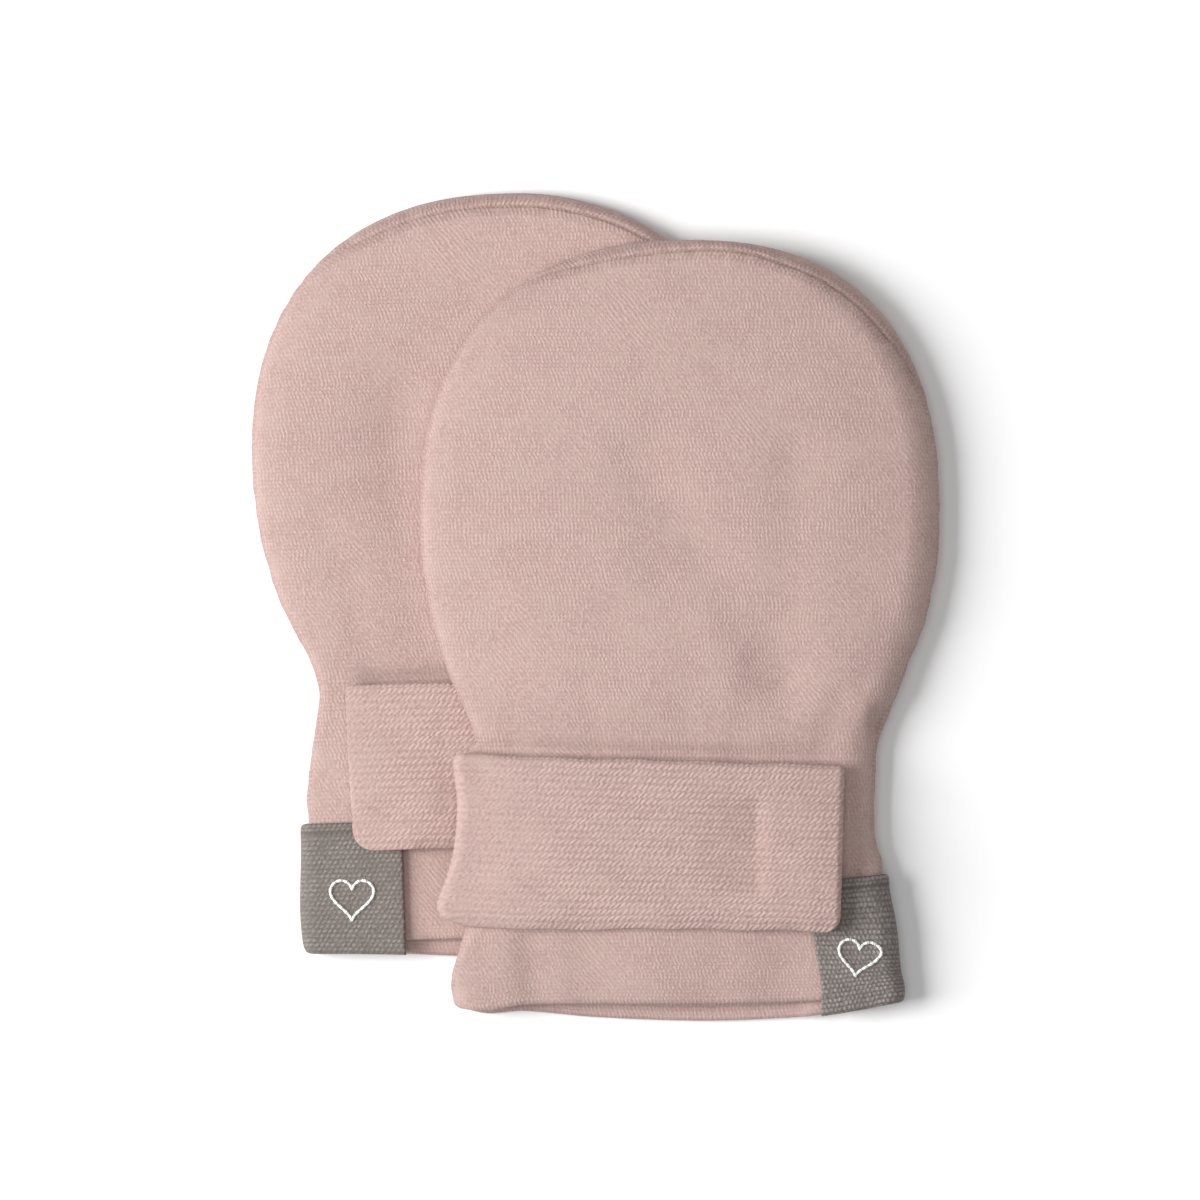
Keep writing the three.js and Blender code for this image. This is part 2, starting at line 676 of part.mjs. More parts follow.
function labelSection(mitten, up) {
  const station = { side: "free", x: halfWidth(mitten, "free", up), up, middleUp: up };
  const shape = edgeShape(mitten, station);
  const reach = station.x - mitten.label.inner;
  const flap = (onTop, share, outward) => {
    const round = onTop ? shape.topRound : shape.underRound;
    return flatPoint(mitten, station, shape, mix(reach, round, share), onTop, outward);
  };
  const along = (outward) => {
    const points = [];
    for (let i = 0; i < LABEL_FLAP_STEPS; i += 1) {
      points.push(flap(true, i / LABEL_FLAP_STEPS, outward));
    }
    for (let i = 0; i <= LABEL_EDGE_STEPS; i += 1) {
      const angle = mix(Math.PI / 2, -Math.PI / 2, i / LABEL_EDGE_STEPS);
      points.push(edgePoint(mitten, station, shape, angle, outward));
    }
    for (let i = 1; i <= LABEL_FLAP_STEPS; i += 1) {
      points.push(flap(false, 1 - i / LABEL_FLAP_STEPS, outward));
    }
    return points.map((point) => inPair(mitten, bendHem(mitten, point, "back")));
  };
  return { outer: along(SEAM_GAP + LABEL_WALL), inner: along(SEAM_GAP) };
}

function labelMesh(mitten) {
  const sections = [];
  for (let i = 0; i <= LABEL_ROWS; i += 1) {
    sections.push(labelSection(mitten, mix(LABEL_LOW, mitten.label.high, i / LABEL_ROWS)));
  }
  const outer = sections.map((section) => section.outer);
  const inner = sections.map((section) => section.inner);
  return closedSheet(`label_${mitten.name}`, outer, inner, LABEL_GREY, 0.9);
}

const pair = new THREE.Group();
pair.name = "baby_mittens";
for (const mitten of [LEFT, RIGHT]) {
  pair.add(panelMesh(mitten, true));
  pair.add(panelMesh(mitten, false));
  pair.add(strapMesh(mitten));
  pair.add(hookPatchMesh(mitten));
  pair.add(labelMesh(mitten));
}

// The middle of the pair's footprint comes to x = 0, y = 0.
const box = new THREE.Box3().setFromObject(pair);
for (const mesh of pair.children) {
  mesh.geometry.translate(-(box.min.x + box.max.x) / 2, -(box.min.y + box.max.y) / 2, 0);
}

export default pair;
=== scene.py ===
# A pair of scratch mittens for a baby, laid flat, with the right one resting on the left one.
# The tables start from the sizes of the solids, in millimetres. The cloth here differs from them by
# up to about 2 mm, where it is creased, tucked, turned or rounded. Each mitten is described in its
# own frame: up runs from the front hem to the fingertips, and x from the side where the strap is
# sewn on, negative, to the side with the label, positive.
import math
from types import SimpleNamespace as Form

import bpy
import numpy as np
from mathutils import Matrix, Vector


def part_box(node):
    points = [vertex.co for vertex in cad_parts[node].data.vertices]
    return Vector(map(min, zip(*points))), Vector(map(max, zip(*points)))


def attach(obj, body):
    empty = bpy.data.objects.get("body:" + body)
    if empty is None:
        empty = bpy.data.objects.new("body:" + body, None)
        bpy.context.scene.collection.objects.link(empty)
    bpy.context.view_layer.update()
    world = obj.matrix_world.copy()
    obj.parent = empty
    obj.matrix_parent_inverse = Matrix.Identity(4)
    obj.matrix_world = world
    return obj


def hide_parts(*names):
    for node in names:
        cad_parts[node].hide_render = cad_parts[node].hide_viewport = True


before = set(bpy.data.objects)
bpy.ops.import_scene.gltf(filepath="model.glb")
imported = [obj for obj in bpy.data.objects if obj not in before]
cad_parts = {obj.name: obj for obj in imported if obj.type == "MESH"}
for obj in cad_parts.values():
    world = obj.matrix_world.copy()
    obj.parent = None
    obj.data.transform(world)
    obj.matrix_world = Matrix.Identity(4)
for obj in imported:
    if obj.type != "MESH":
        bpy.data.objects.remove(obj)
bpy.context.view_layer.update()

MM = 0.001
SEAM_GAP = 0.3
CLOTH_WALL = 1.6
LEAST_HOLLOW = 0.5
LABEL_WALL = 1.0
LABEL_ROOM = LABEL_WALL + SEAM_GAP
PATCH_WALL = 0.7

RIGHT = Form(
    name="right",
    mirror=1,
    tilt=0.0,
    hem_x=13.9,
    hem_y=-66.1,
    outline={
        "up": [-2.6, -0.6, 1.5, 5.3, 12.7, 21, 29.2, 39.1, 43.2, 47.4, 52.3, 57.3, 62.2, 67.2, 73.8, 81.2],
        "root": [33.6, 36.4, 37.6, 37.7, 35.6, 33.4, 32.4, 32.6]
        + [33.6, 34.8, 37.1, 39, 40.5, 41.6, 42.6, 42.9],
        "free": [35.3, 35.6, 35.7, 35.1, 34.4, 32.6, 32.1, 32.3]
        + [32.6, 34.1, 36.1, 37.9, 40, 41.3, 42.5, 42.8],
    },
    dome=Form(up=81.2, tip=126.4, lean=1.6, root_square=2.4, free_square=2.35),
    seam_roll=Form(root_start=119, root_full=125.5, free_start=97, free_full=116),
    flare=Form(up=23.5, out=1.1, half=3.2),
    hem={
        "x": [-37, -32, -26, -14, 3, 16, 23, 30, 37],
        "front": [-0.1, -0.5, 0.5, 0.7, 0.7, 0.9, 1.2, 1.9, 2.8],
        "back": [0, -1.0, -0.6, -1.6, -2.2, -1.8, -1.2, -0.1, 1.0],
    },
    label=Form(inner=22.3, high=20.8, lean=0.9, lift=0.6, tilt=0.1),
    strap=Form(
        free_x=27, low=13.4, high=41.8, corner=2.8,
        bend=0, tuck=0.85, end=0.9, end_sunk=0,
    ),
    strap_fold={
        "up": [13, 15, 17, 19, 23, 27, 34, 40, 44],
        "x": [-36, -39.2, -40.1, -39.6, -38.2, -37.3, -36.8, -37.4, -37.2],
    },
    heart=Form(x=29.3, up=8.6, size=3.6, turn=-9),
)

LEFT = Form(
    name="left",
    mirror=-1,
    tilt=1.74,
    hem_x=-11.3,
    hem_y=-54.9,
    outline={
        "up": [-2.6, -0.6, 1.5, 6.4, 14.7, 20, 27.9, 37.8, 41.1, 44.4, 47.7, 51, 57.6, 62.5, 67.5, 79],
        "root": [33.6, 36.4, 37.2, 37.2, 35.2, 33.6, 32.4, 32.6, 33.2, 34.2, 35.4, 37, 39.4, 40.9, 42, 43],
        "free": [34.6, 35.4, 35.8, 36, 35.6, 35.5, 35.3, 33.7]
        + [33.2, 33.7, 34.8, 36.5, 39.5, 40.9, 42.1, 43.1],
    },
    dome=Form(up=79, tip=123.1, lean=0, root_square=2.1, free_square=2.32),
    seam_roll=Form(root_start=96, root_full=110, free_start=109, free_full=121),
    flare=Form(up=24, out=0.3, half=3),
    hem={
        "x": [-37, -30, 0, 12, 22, 37],
        "front": [0.6, 0.4, 0.3, 0.4, 0.6, 1.0],
        "back": [-0.8, -2.0, -2.4, -2.3, -1.6, -1.1],
    },
    label=Form(inner=20.0, high=19.9, lean=0, lift=0.3, tilt=0),
    strap=Form(
        free_x=28.9, low=15.9, high=43.2, corner=3.4,
        bend=1.45, tuck=0, end=3.4, end_sunk=1.3,
    ),
    strap_fold={"up": [13, 44], "x": [-36.4, -36.4]},
    heart=Form(x=28.6, up=8.0, size=3.8, turn=2),
)

# Creases. A row has the x and the up of a line's two ends, the depth and the width of its trough,
# and for some the share of the line over which it fades out. A depth below 0 is a ridge. The solids
# have the first table's creases too.
CREASES = {
    "front_right": [
        ((-6, 17), (89, 55), 0.7, 5.5),
        ((19, 16), (90, 52), 0.5, 4.5),
        ((-15, -16), (-3, 12), 0.9, 6),
        ((18, 17), (-3, 6), 0.6, 5),
    ],
    "front_left": [
        ((30, 22), (70, 50), 0.35, 4),
        ((26, 27), (-3, 12), 0.3, 5),
    ],
}
FINE_CREASES = {
    "front_right": [
        ((31.6, 32.1), (48.5, 43.5), 0.35, 0.8),
        ((-35.0, -27.1), (51.6, 45.4), 0.32, 1.9),
        ((-31, -23), (53.5, 46.5), -0.12, 2.2),
        ((-34, 30), (43.0, 41.0), 0.55, 1.2, 0.3),
        ((-14, -15.5), (43, 53), 0.16, 2.2),
        ((2, 0.5), (42, 50), 0.12, 2.0),
        ((9, 12), (42, 56), 0.15, 2.6),
        ((23, 26), (42, 51), 0.2, 2.0),
        ((30, 36), (53, 62), 0.2, 2.6),
        ((-30, -33), (2, 10), 0.2, 2.4),
        ((4, 7), (0, 9), 0.18, 3.0),
        ((-23.5, -24.5), (-3, 11), 0.85, 3.4),
        ((18.5, 17), (86, 62), -0.15, 4.5),
        ((-5, 2), (76, 58), 0.2, 4),
    ],
    "front_left": [
        ((-14, 28), (43.6, 42.9), 1.05, 1.9, 0.15),
        ((24, 27), (45, 54), 0.18, 2.2),
        ((18, 16), (86, 52), 0.6, 5.5),
        ((14, 15), (45, 52), 0.14, 2.0),
        ((33, 31), (26, 38), 0.15, 2.2),
    ],
    "back_right": [
        ((-12, 8), (86, 58), 0.45, 3.6),
        ((20, 12), (92, 70), 0.3, 3.0),
        ((-22, -17), (45, 56), 0.35, 2.2),
        ((4, 2), (40, 54), 0.3, 2.6),
        ((18, 23), (38, 50), 0.35, 2.4),
        ((-8, -10), (2, 16), 0.25, 2.8),
    ],
    "back_left": [
        ((14, -6), (90, 62), 0.4, 3.8),
        ((-20, -12), (84, 64), 0.3, 3.2),
        ((22, 18), (42, 55), 0.35, 2.2),
        ((0, 3), (38, 52), 0.3, 2.8),
        ((-20, -24), (40, 52), 0.3, 2.2),
        ((10, 12), (1, 14), 0.22, 2.6),
    ],
}

# Where the right mitten's side folds down along a short sharp line above the wrist.
WRIST_FOLD = Form(x=(31.3, 32.6), up=(50.5, 42.5), drop=1.2, width=1.1)

# Thickness of a mitten along its middle, alone and where the other one presses on it.
THICKNESS = {
    "up": [-2.6, 4, 12, 16, 40.5, 44.5, 49.5, 58, 80, 105, 118, 130],
    "alone": [4.2, 4.7, 4.8, 4.8, 4.8, 5.5, 6.5, 6.9, 7.1, 6.9, 6.6, 6.4],
    "pressed": [3.4, 3.4, 3.0, 2.7, 2.7, 3.3, 4.2, 4.6, 4.6, 4.6, 4.6, 4.6],
}
WIDEST = 43
SHOULDER = 0.85
CROWN_REACH = 22

# How far the right mitten's top is raised at its root side by what it lies on.
LIFT = {
    "up": [-2.6, 6, 13, 40, 55, 90, 130],
    "height": [2.4, 3.9, 5.5, 5.8, 5.4, 5.2, 5.2],
}
STACK_HEIGHT = 5.25
STACK_FALL = 8
STACK_FALL_DOME = 24

TOP_ROUNDING = 5.7
TIGHT_ROUNDING = 5.2
UNDER_ROUNDING = 3
SEAM_ROLL = 2.0
BACK_HEM = -2.4
STRAP_SLANT = math.radians(1.8)
STRAP_RISE = 2.2
STRAP_WALL = 2.5
STRAP_PRESSED = 1.95
STRAP_SEAM_SPACE = -0.8
HOOK_PATCH = Form(from_x=-6.7, to_x=12.5, low=0.28, high=0.75, imprint=0.95)
LABEL_LOW = -1.15

# Pitches of the stitches: courses lie over each other and wales beside each other.
COURSE = 0.635
WALE = 0.85
STRAP_COURSE = 1.16
STRAP_WALE = 0.94


# Small functions
def mix(start, end, share):
    return start + (end - start) * share


def ramp(start, end, value):
    return np.clip((value - start) / (end - start), 0, 1)


def smooth(start, end, value):
    share = ramp(start, end, value)
    return share * share * (3 - 2 * share)


def read_table(table, key, at, column):
    """The value of one column, on a smooth curve through the rows that is level at both ends."""
    keys = np.array(table[key], float)
    values = np.array(table[column], float)
    slopes = np.zeros(len(keys))
    slopes[1:-1] = (values[2:] - values[:-2]) / (keys[2:] - keys[:-2])
    at = np.clip(at, keys[0], keys[-1])
    i = np.clip(np.searchsorted(keys, at, side="right") - 1, 0, len(keys) - 2)
    span = keys[i + 1] - keys[i]
    t = (at - keys[i]) / span
    start = values[i] * (2 * t**3 - 3 * t**2 + 1) + slopes[i] * span * (t**3 - 2 * t**2 + t)
    end = values[i + 1] * (3 * t**2 - 2 * t**3) + slopes[i + 1] * span * (t**3 - t**2)
    return start + end


def to_pair(mitten, x, up):
    turn = math.radians(mitten.tilt)
    across = mitten.mirror * x
    pair_x = mitten.hem_x + across * math.cos(turn) - up * math.sin(turn)
    pair_y = mitten.hem_y + across * math.sin(turn) + up * math.cos(turn)
    return pair_x, pair_y


def to_mitten(mitten, pair_x, pair_y):
    turn = math.radians(mitten.tilt)
    dx = pair_x - mitten.hem_x
    dy = pair_y - mitten.hem_y
    x = mitten.mirror * (dx * math.cos(turn) + dy * math.sin(turn))
    return x, dy * math.cos(turn) - dx * math.sin(turn)


def arc_lengths(*place, axis):
    """Distances along lines of points, from the start of each line."""
    steps = np.sqrt(sum(np.diff(part, axis=axis) ** 2 for part in place))
    start = np.zeros_like(np.take(place[0], [0], axis=axis))
    return np.concatenate([start, np.cumsum(steps, axis=axis)], axis=axis)


# Outline
def half_width(mitten, on_root, up):
    up = np.minimum(up, mitten.dome.up)
    root = read_table(mitten.outline, "up", up, "root")
    flare = mitten.flare
    free = read_table(mitten.outline, "up", up, "free")
    free = free + flare.out * np.exp(-(((up - flare.up) / flare.half) ** 2))
    return np.where(on_root, root, free)


def dome_lean(mitten, up):
    dome = mitten.dome
    share = np.maximum(0, (up - dome.up) / (dome.tip - dome.up))
    return dome.lean * share**2


def inset_at(mitten, x, up):
    """How far inside the outline a place lies, towards the mitten's middle; negative outside."""
    dome = mitten.dome
    lean = dome_lean(mitten, up)
    on_root = x < lean
    straight = half_width(mitten, on_root, up) - np.abs(x)
    dx = np.abs(x - lean) + 1e-9
    dy = np.maximum(up - dome.up, 0)
    power = np.where(on_root, dome.root_square, dome.free_square)
    across = half_width(mitten, on_root, dome.up)
    tall = dome.tip - dome.up
    share = ((dx / across) ** power + (dy / tall) ** power) ** (1 / power)
    reach = np.hypot(dx, dy)
    return np.where(up <= dome.up, straight, reach / share - reach)


def distance_outside(mitten, x, up):
    """Distance outside a mitten and its strap's fold, 0 anywhere on it."""
    strap = mitten.strap
    beyond_fold = np.maximum(0, mitten.strap_fold["x"][0] - 0.4 - x)
    beyond_width = np.maximum(0, np.maximum(strap.low - 1 - up, up - strap.high - 4))
    from_strap = np.where(x < 0, np.hypot(beyond_fold, beyond_width), 1e9)
    from_cloth = np.maximum(0, np.maximum(-inset_at(mitten, x, up), BACK_HEM - up))
    return np.minimum(from_strap, from_cloth)


# Heights
def press_share(mitten, x, up):
    """1 where the right mitten lies on the left one."""
    if mitten is RIGHT:
        return np.zeros(np.broadcast(x, up).shape)
    right_x, right_up = to_mitten(RIGHT, *to_pair(LEFT, x, up))
    below = np.maximum(0, -1 - right_up)
    return smooth(-28, 3, inset_at(RIGHT, right_x, right_up) - below)


def label_window(mitten, x, up):
    label = mitten.label
    beside = smooth(label.inner - 4, label.inner - 1, x)
    return beside * (1 - smooth(label.high + 1, label.high + 4, up))


def underside(mitten, x, up):
    """Height of the underside away from the rounded edge."""
    room = LABEL_ROOM * label_window(mitten, x, up)
    if mitten is LEFT:
        return room
    left_x, left_up = to_mitten(LEFT, *to_pair(RIGHT, x, up))
    fall = mix(STACK_FALL, STACK_FALL_DOME, smooth(88, 112, up))
    return room + STACK_HEIGHT * (1 - smooth(0, fall, distance_outside(LEFT, left_x, left_up)))


def by_line(x_ends, up_ends, x, up):
    """The share of the way along a line, the distance off to its left, and the line's length."""
    run_x = x_ends[1] - x_ends[0]
    run_up = up_ends[1] - up_ends[0]
    length = math.hypot(run_x, run_up)
    from_x = x - x_ends[0]
    from_up = up - up_ends[0]
    along = (from_x * run_x + from_up * run_up) / length**2
    return along, (from_up * run_x - from_x * run_up) / length, length


def crease_depth(creases, x, up):
    total = 0.0
    for x_ends, up_ends, depth, width, *fade in creases:
        along, beside, length = by_line(x_ends, up_ends, x, up)
        past_end = (along - np.clip(along, 0, 1)) * length
        trough = depth * np.exp(-(beside**2 + past_end**2) / width**2)
        if fade:
            trough = trough * (1 - smooth(1 - fade[0], 1, along))
        total = total + trough
    return total


def topside(mitten, x, up):
    """Height of the top away from the rounded edge."""
    alone = read_table(THICKNESS, "up", up, "alone")
    pressed = read_table(THICKNESS, "up", up, "pressed")
    press = press_share(mitten, x, up)
    inset = ramp(0, CROWN_REACH, inset_at(mitten, x, up))
    crown = mix(SHOULDER, 1, np.sin(inset * math.pi / 2))
    height = mix(alone * crown, pressed, press)
    if mitten is RIGHT:
        across = ramp(-WIDEST, WIDEST, x)
        height = height + read_table(LIFT, "up", up, "height") * (1 - across**2)
    return height - crease_depth(CREASES["front_" + mitten.name], x, up) * (1 - press)


def edge_level(whole):
    """Where the widest line of the edge lies, as a share of the thickness."""
    return mix(0.5, 0.42, smooth(4, 6.5, whole))


def wall_at(mitten, x, up):
    whole = topside(mitten, x, up) - underside(mitten, x, up)
    return np.minimum(CLOTH_WALL, (whole - LEAST_HOLLOW) / 2)


# Edge of a mitten
class Edge:
    """The rounded edge at places on the outline, each facing a point of the mitten's middle."""

    def __init__(self, mitten, x, up, middle_up):
        self.mitten = mitten
        self.x = x
        self.up = up
        self.reach = np.hypot(x, up - middle_up)
        self.in_x = -x / self.reach
        self.in_up = (middle_up - up) / self.reach
        shoulder = (x + self.in_x * 5, up + self.in_up * 5)
        whole = topside(mitten, *shoulder) - underside(mitten, *shoulder)
        tightest = wall_at(mitten, *shoulder) + 0.35
        self.above = whole * (1 - edge_level(whole))
        self.below = whole * edge_level(whole)
        to_right = -self.in_x * mitten.mirror
        rounding = mix(TIGHT_ROUNDING, TOP_ROUNDING, smooth(-0.6, 0.9, to_right))
        self.top_round = np.minimum(rounding, self.above**2 / tightest)
        self.under_round = np.minimum(UNDER_ROUNDING, self.below**2 / tightest)

    def place(self, inset):
        return self.x + self.in_x * inset, self.up + self.in_up * inset

    def rounded(self, angle, outward=0.0, along=0.0):
        """Points of the section: on the top for angles above 0, on the underside below 0."""
        on_top = angle >= 0
        round_ = np.where(on_top, self.top_round, self.under_round)
        rise = np.where(on_top, self.above, self.below)
        inset = round_ * (1 - np.cos(angle))
        norm = np.hypot(np.cos(angle) / round_, np.sin(angle) / rise)
        normal_in = -np.cos(angle) / round_ / norm
        normal_up = np.sin(angle) / rise / norm
        x, up = self.place(inset)
        under = underside(self.mitten, x, up)
        top = topside(self.mitten, x, up)
        level = mix(under, top, edge_level(top - under))
        target = np.where(on_top, top, under)
        height = mix(level, target, np.abs(np.sin(angle)))
        x, up = self.place(inset + outward * normal_in + along * normal_up)
        return x, up, height + outward * normal_up - along * normal_in

    def flat(self, inset, on_top, outward=0.0):
        """Points further in, where the cloth lies flat."""
        x, up = self.place(inset)
        if on_top:
            return x, up, topside(self.mitten, x, up) + outward
        return x, up, underside(self.mitten, x, up) - outward


# Stations and rings of a panel
HEM_ROUND = 0.8
SEAM_ROUND = 0.6
SEAM_THIN = 0.8
SEAM_CLEAR = 0.02
HEM_ROWS = [0.0, 0.03, 0.1, 0.22, 0.4, 0.62, 0.85]
ROW_STEP = 0.62
DOME_STEP = 0.62
EDGE_RINGS = 26
FLAT_RINGS = {"front": 56, "back": 34}


def dome_side(mitten, on_root):
    """Evenly spaced places over one side of the dome, from its widest line to just before its tip."""
    dome = mitten.dome
    power = 2 / (dome.root_square if on_root else dome.free_square)

    def place(angle):
        up = dome.up + (dome.tip - dome.up) * np.sin(angle) ** power
        across = half_width(mitten, on_root, dome.up) * np.abs(np.cos(angle)) ** power
        return (-across if on_root else across) + dome_lean(mitten, up), up

    angle = np.linspace(0, math.pi / 2, 2001)
    length = arc_lengths(*place(angle), axis=0)
    even = np.arange(0, length[-1] - DOME_STEP / 2, DOME_STEP)
    return place(np.interp(even, length, angle))


def stations_of(mitten, is_front):
    """Places on the outline from the hem on the root side, over the dome, to the other hem."""
    dome = mitten.dome
    low = 0.0 if is_front else -1.0
    side = np.concatenate([
        low + np.array(HEM_ROWS),
        np.arange(low + 1.2, dome.up - ROW_STEP / 2, ROW_STEP),
    ])
    halves = []
    for on_root in (True, False):
        sign = -1 if on_root else 1
        dome_x, dome_up = dome_side(mitten, on_root)
        x = np.concatenate([sign * half_width(mitten, on_root, side), dome_x])
        up = np.concatenate([side, dome_up])
        halves.append((x, up, np.minimum(up, dome.up)))
    root, free = halves
    tip = ([dome.lean], [dome.tip], [dome.up])
    x, up, middle_up = (np.concatenate([root[i], tip[i], free[i][::-1]]) for i in range(3))
    rows = np.arange(len(x))
    shared = np.where(rows > len(root[0]), len(x) - 1 - rows, rows)
    return x, up, middle_up, np.minimum(shared, len(side))


def seam_angle(mitten, edge):
    roll = mitten.seam_roll
    on_root = edge.x < dome_lean(mitten, edge.up)
    root = smooth(roll.root_start, roll.root_full, edge.up)
    free = smooth(roll.free_start, roll.free_full, edge.up)
    inset = SEAM_ROLL * np.where(on_root, root, free)
    return np.arccos(1 - np.minimum(0.62, inset / edge.top_round))


def round_share(distance, radius, least=0.06):
    """How much of its thickness a rounded border has at a distance from it."""
    share = ramp(0, radius, distance)
    return np.maximum(least, np.sqrt(1 - (1 - share) ** 2))


# Relief that the solids leave out
SWELL_SEEDS = {"front_right": 3, "front_left": 5, "back_right": 7, "back_left": 11}


def waves(seed, longest, shortest, count, x, up):
    """Soft uneven swells: a few waves in fixed random directions."""
    draw = np.random.default_rng(seed)
    length = draw.uniform(shortest, longest, count)
    heading = draw.uniform(0, math.pi, count)
    phase = draw.uniform(0, 2 * math.pi, count)
    total = 0.0
    for rate, way, start in zip(2 * math.pi / length, heading, phase):
        total = total + np.sin(rate * (math.cos(way) * x + math.sin(way) * up) + start)
    return total / math.sqrt(count)


def under_strap(mitten, x, up):
    """1 below the strap and its groove, 0 away from it."""
    strap = mitten.strap
    along = 1 - smooth(strap.free_x - 1, strap.free_x + 2, x)
    up_low = smooth(strap.low - 4, strap.low - 1, up)
    return along * up_low * (1 - smooth(strap.high, strap.high + 3, up))


def relief(mitten, panel, x, up, around, off_seam):
    """How far the cloth stands out from the solid's face; around runs along the seam."""
    name = panel + "_" + mitten.name
    seed = SWELL_SEEDS[name]
    swell = waves(seed, 38, 13, 7, x, up)
    creases = crease_depth(FINE_CREASES[name], x, up) * smooth(0, 3.5, off_seam)
    pucker = waves(seed + 40, 4.2, 2.4, 3, around, 0)
    pulled = -0.09 * (1.2 + pucker) * np.exp(-off_seam / 1.5)
    if panel == "back":
        return -np.maximum(0, 0.1 + 0.09 * swell) * smooth(0, 6, off_seam) - creases + pulled
    room = (1 - under_strap(mitten, x, up)) * (1 - press_share(mitten, x, up))
    room = room * (1 - label_window(mitten, x, up))
    if mitten is RIGHT:
        creases = creases + wrist_fold(x, up, off_seam)
    return 0.05 * swell * room * smooth(0, 6, off_seam) - creases + pulled


def wrist_fold(x, up, off_seam):
    """How far the cloth is let down beyond the fold line, fading at the line's start and at the seam."""
    along, beyond, _ = by_line(WRIST_FOLD.x, WRIST_FOLD.up, x, up)
    share = smooth(0, 0.45, along) * (1 - smooth(0.95, 1.15, along))
    share = share * smooth(0, WRIST_FOLD.width, beyond) * smooth(0.3, 2.2, off_seam)
    return WRIST_FOLD.drop * share


def hem_bend(mitten, panel, x, up):
    """Where a height ends up once the hem line is bent."""
    row_up = 0 if panel == "front" else -1
    return up + (read_table(mitten.hem, "x", x, panel) - row_up) * (1 - smooth(0, 9, up))


# Place of the pair: its footprint's middle is the frame's origin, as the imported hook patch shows.
patch_low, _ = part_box("hook_patch_right")
PATCH_MARGIN = 0.6
SHARE_MARGIN = 0.02


def strap_up(mitten, across, x):
    strap = mitten.strap
    return mix(strap.low, strap.high, across) - math.tan(STRAP_SLANT) * (x + 30)


def strap_bend(mitten, across, x):
    """How far the strap's free half and its low edge curve towards the fingertips."""
    strap = mitten.strap
    return strap.bend * smooth(-12, 30, x) + strap.tuck * (1 - across) ** 2 * smooth(-25, 8, x)


patch_x, _ = to_pair(RIGHT, HOOK_PATCH.from_x + PATCH_MARGIN, 0)
patch_up = strap_up(RIGHT, HOOK_PATCH.low + SHARE_MARGIN, HOOK_PATCH.to_x - PATCH_MARGIN)
_, patch_y = to_pair(RIGHT, 0, patch_up)
SHIFT_X = patch_low.x / MM - patch_x
SHIFT_Y = patch_low.y / MM - patch_y


def in_metres(mitten, x, up, z):
    pair_x, pair_y = to_pair(mitten, x, up)
    return np.stack([pair_x + SHIFT_X, pair_y + SHIFT_Y, z + 0 * x], axis=-1) * MM


# Meshes
def add_to_scene(name, data):
    added = bpy.data.objects.new(name, data)
    bpy.context.scene.collection.objects.link(added)
    return added


def make_object(name, points, faces, uv_layers, material):
    mesh = bpy.data.meshes.new(name)
    mesh.from_pydata(points.tolist(), [], faces)
    mesh.update()
    corner = np.zeros(len(mesh.loops), np.int32)
    mesh.loops.foreach_get("vertex_index", corner)
    for layer_name, values in uv_layers.items():
        layer = mesh.uv_layers.new(name=layer_name)
        layer.data.foreach_set("uv", values[corner].astype(np.float32).ravel())
    mesh.polygons.foreach_set("use_smooth", np.ones(len(mesh.polygons), bool))
    mesh.materials.append(material)
    return add_to_scene(name, mesh)


def signed_volume(points, quads):
    a, b, c, d = (points[quads[:, i]] for i in range(4))
    first = np.einsum("ij,ij->i", a, np.cross(b, c)).sum()
    return first + np.einsum("ij,ij->i", a, np.cross(c, d)).sum()


def net(index):
    """The faces between neighbouring rows and columns of points."""
    corners = [index[:-1, :-1], index[1:, :-1], index[1:, 1:], index[:-1, 1:]]
    return np.stack(corners, axis=-1).reshape(-1, 4)


def shell(name, outer, inner, uv_layers, material, shared=None):
    """A closed sheet over two nets. shared gives the row whose last point each row ends in."""
    rows, columns = outer.shape[:2]
    over = np.arange(rows * columns).reshape(rows, columns)
    if shared is not None:
        over[:, -1] = over[shared, -1]
    under = over + rows * columns
    quads = [net(over), net(under)[:, ::-1], net(np.stack([under[:, 0], over[:, 0]], axis=1))]
    quads.append(net(np.stack([under[0], over[0]]))[:, ::-1])
    quads.append(net(np.stack([under[-1], over[-1]])))
    if shared is None:
        quads.append(net(np.stack([over[:, -1], under[:, -1]], axis=1)))
    quads = np.concatenate(quads)
    used, quads = np.unique(quads, return_inverse=True)
    quads = quads.reshape(-1, 4)
    points = np.concatenate([outer.reshape(-1, 3), inner.reshape(-1, 3)])[used]
    layers = {}
    for layer_name, values in uv_layers.items():
        layers[layer_name] = np.tile(values.reshape(-1, 2), (2, 1))[used]
    if signed_volume(points, quads) < 0:
        quads = quads[:, ::-1]
    faces = [list(dict.fromkeys(face)) for face in quads.tolist()]
    faces = [face for face in faces if len(face) > 2]
    return make_object(name, points, faces, layers, material)


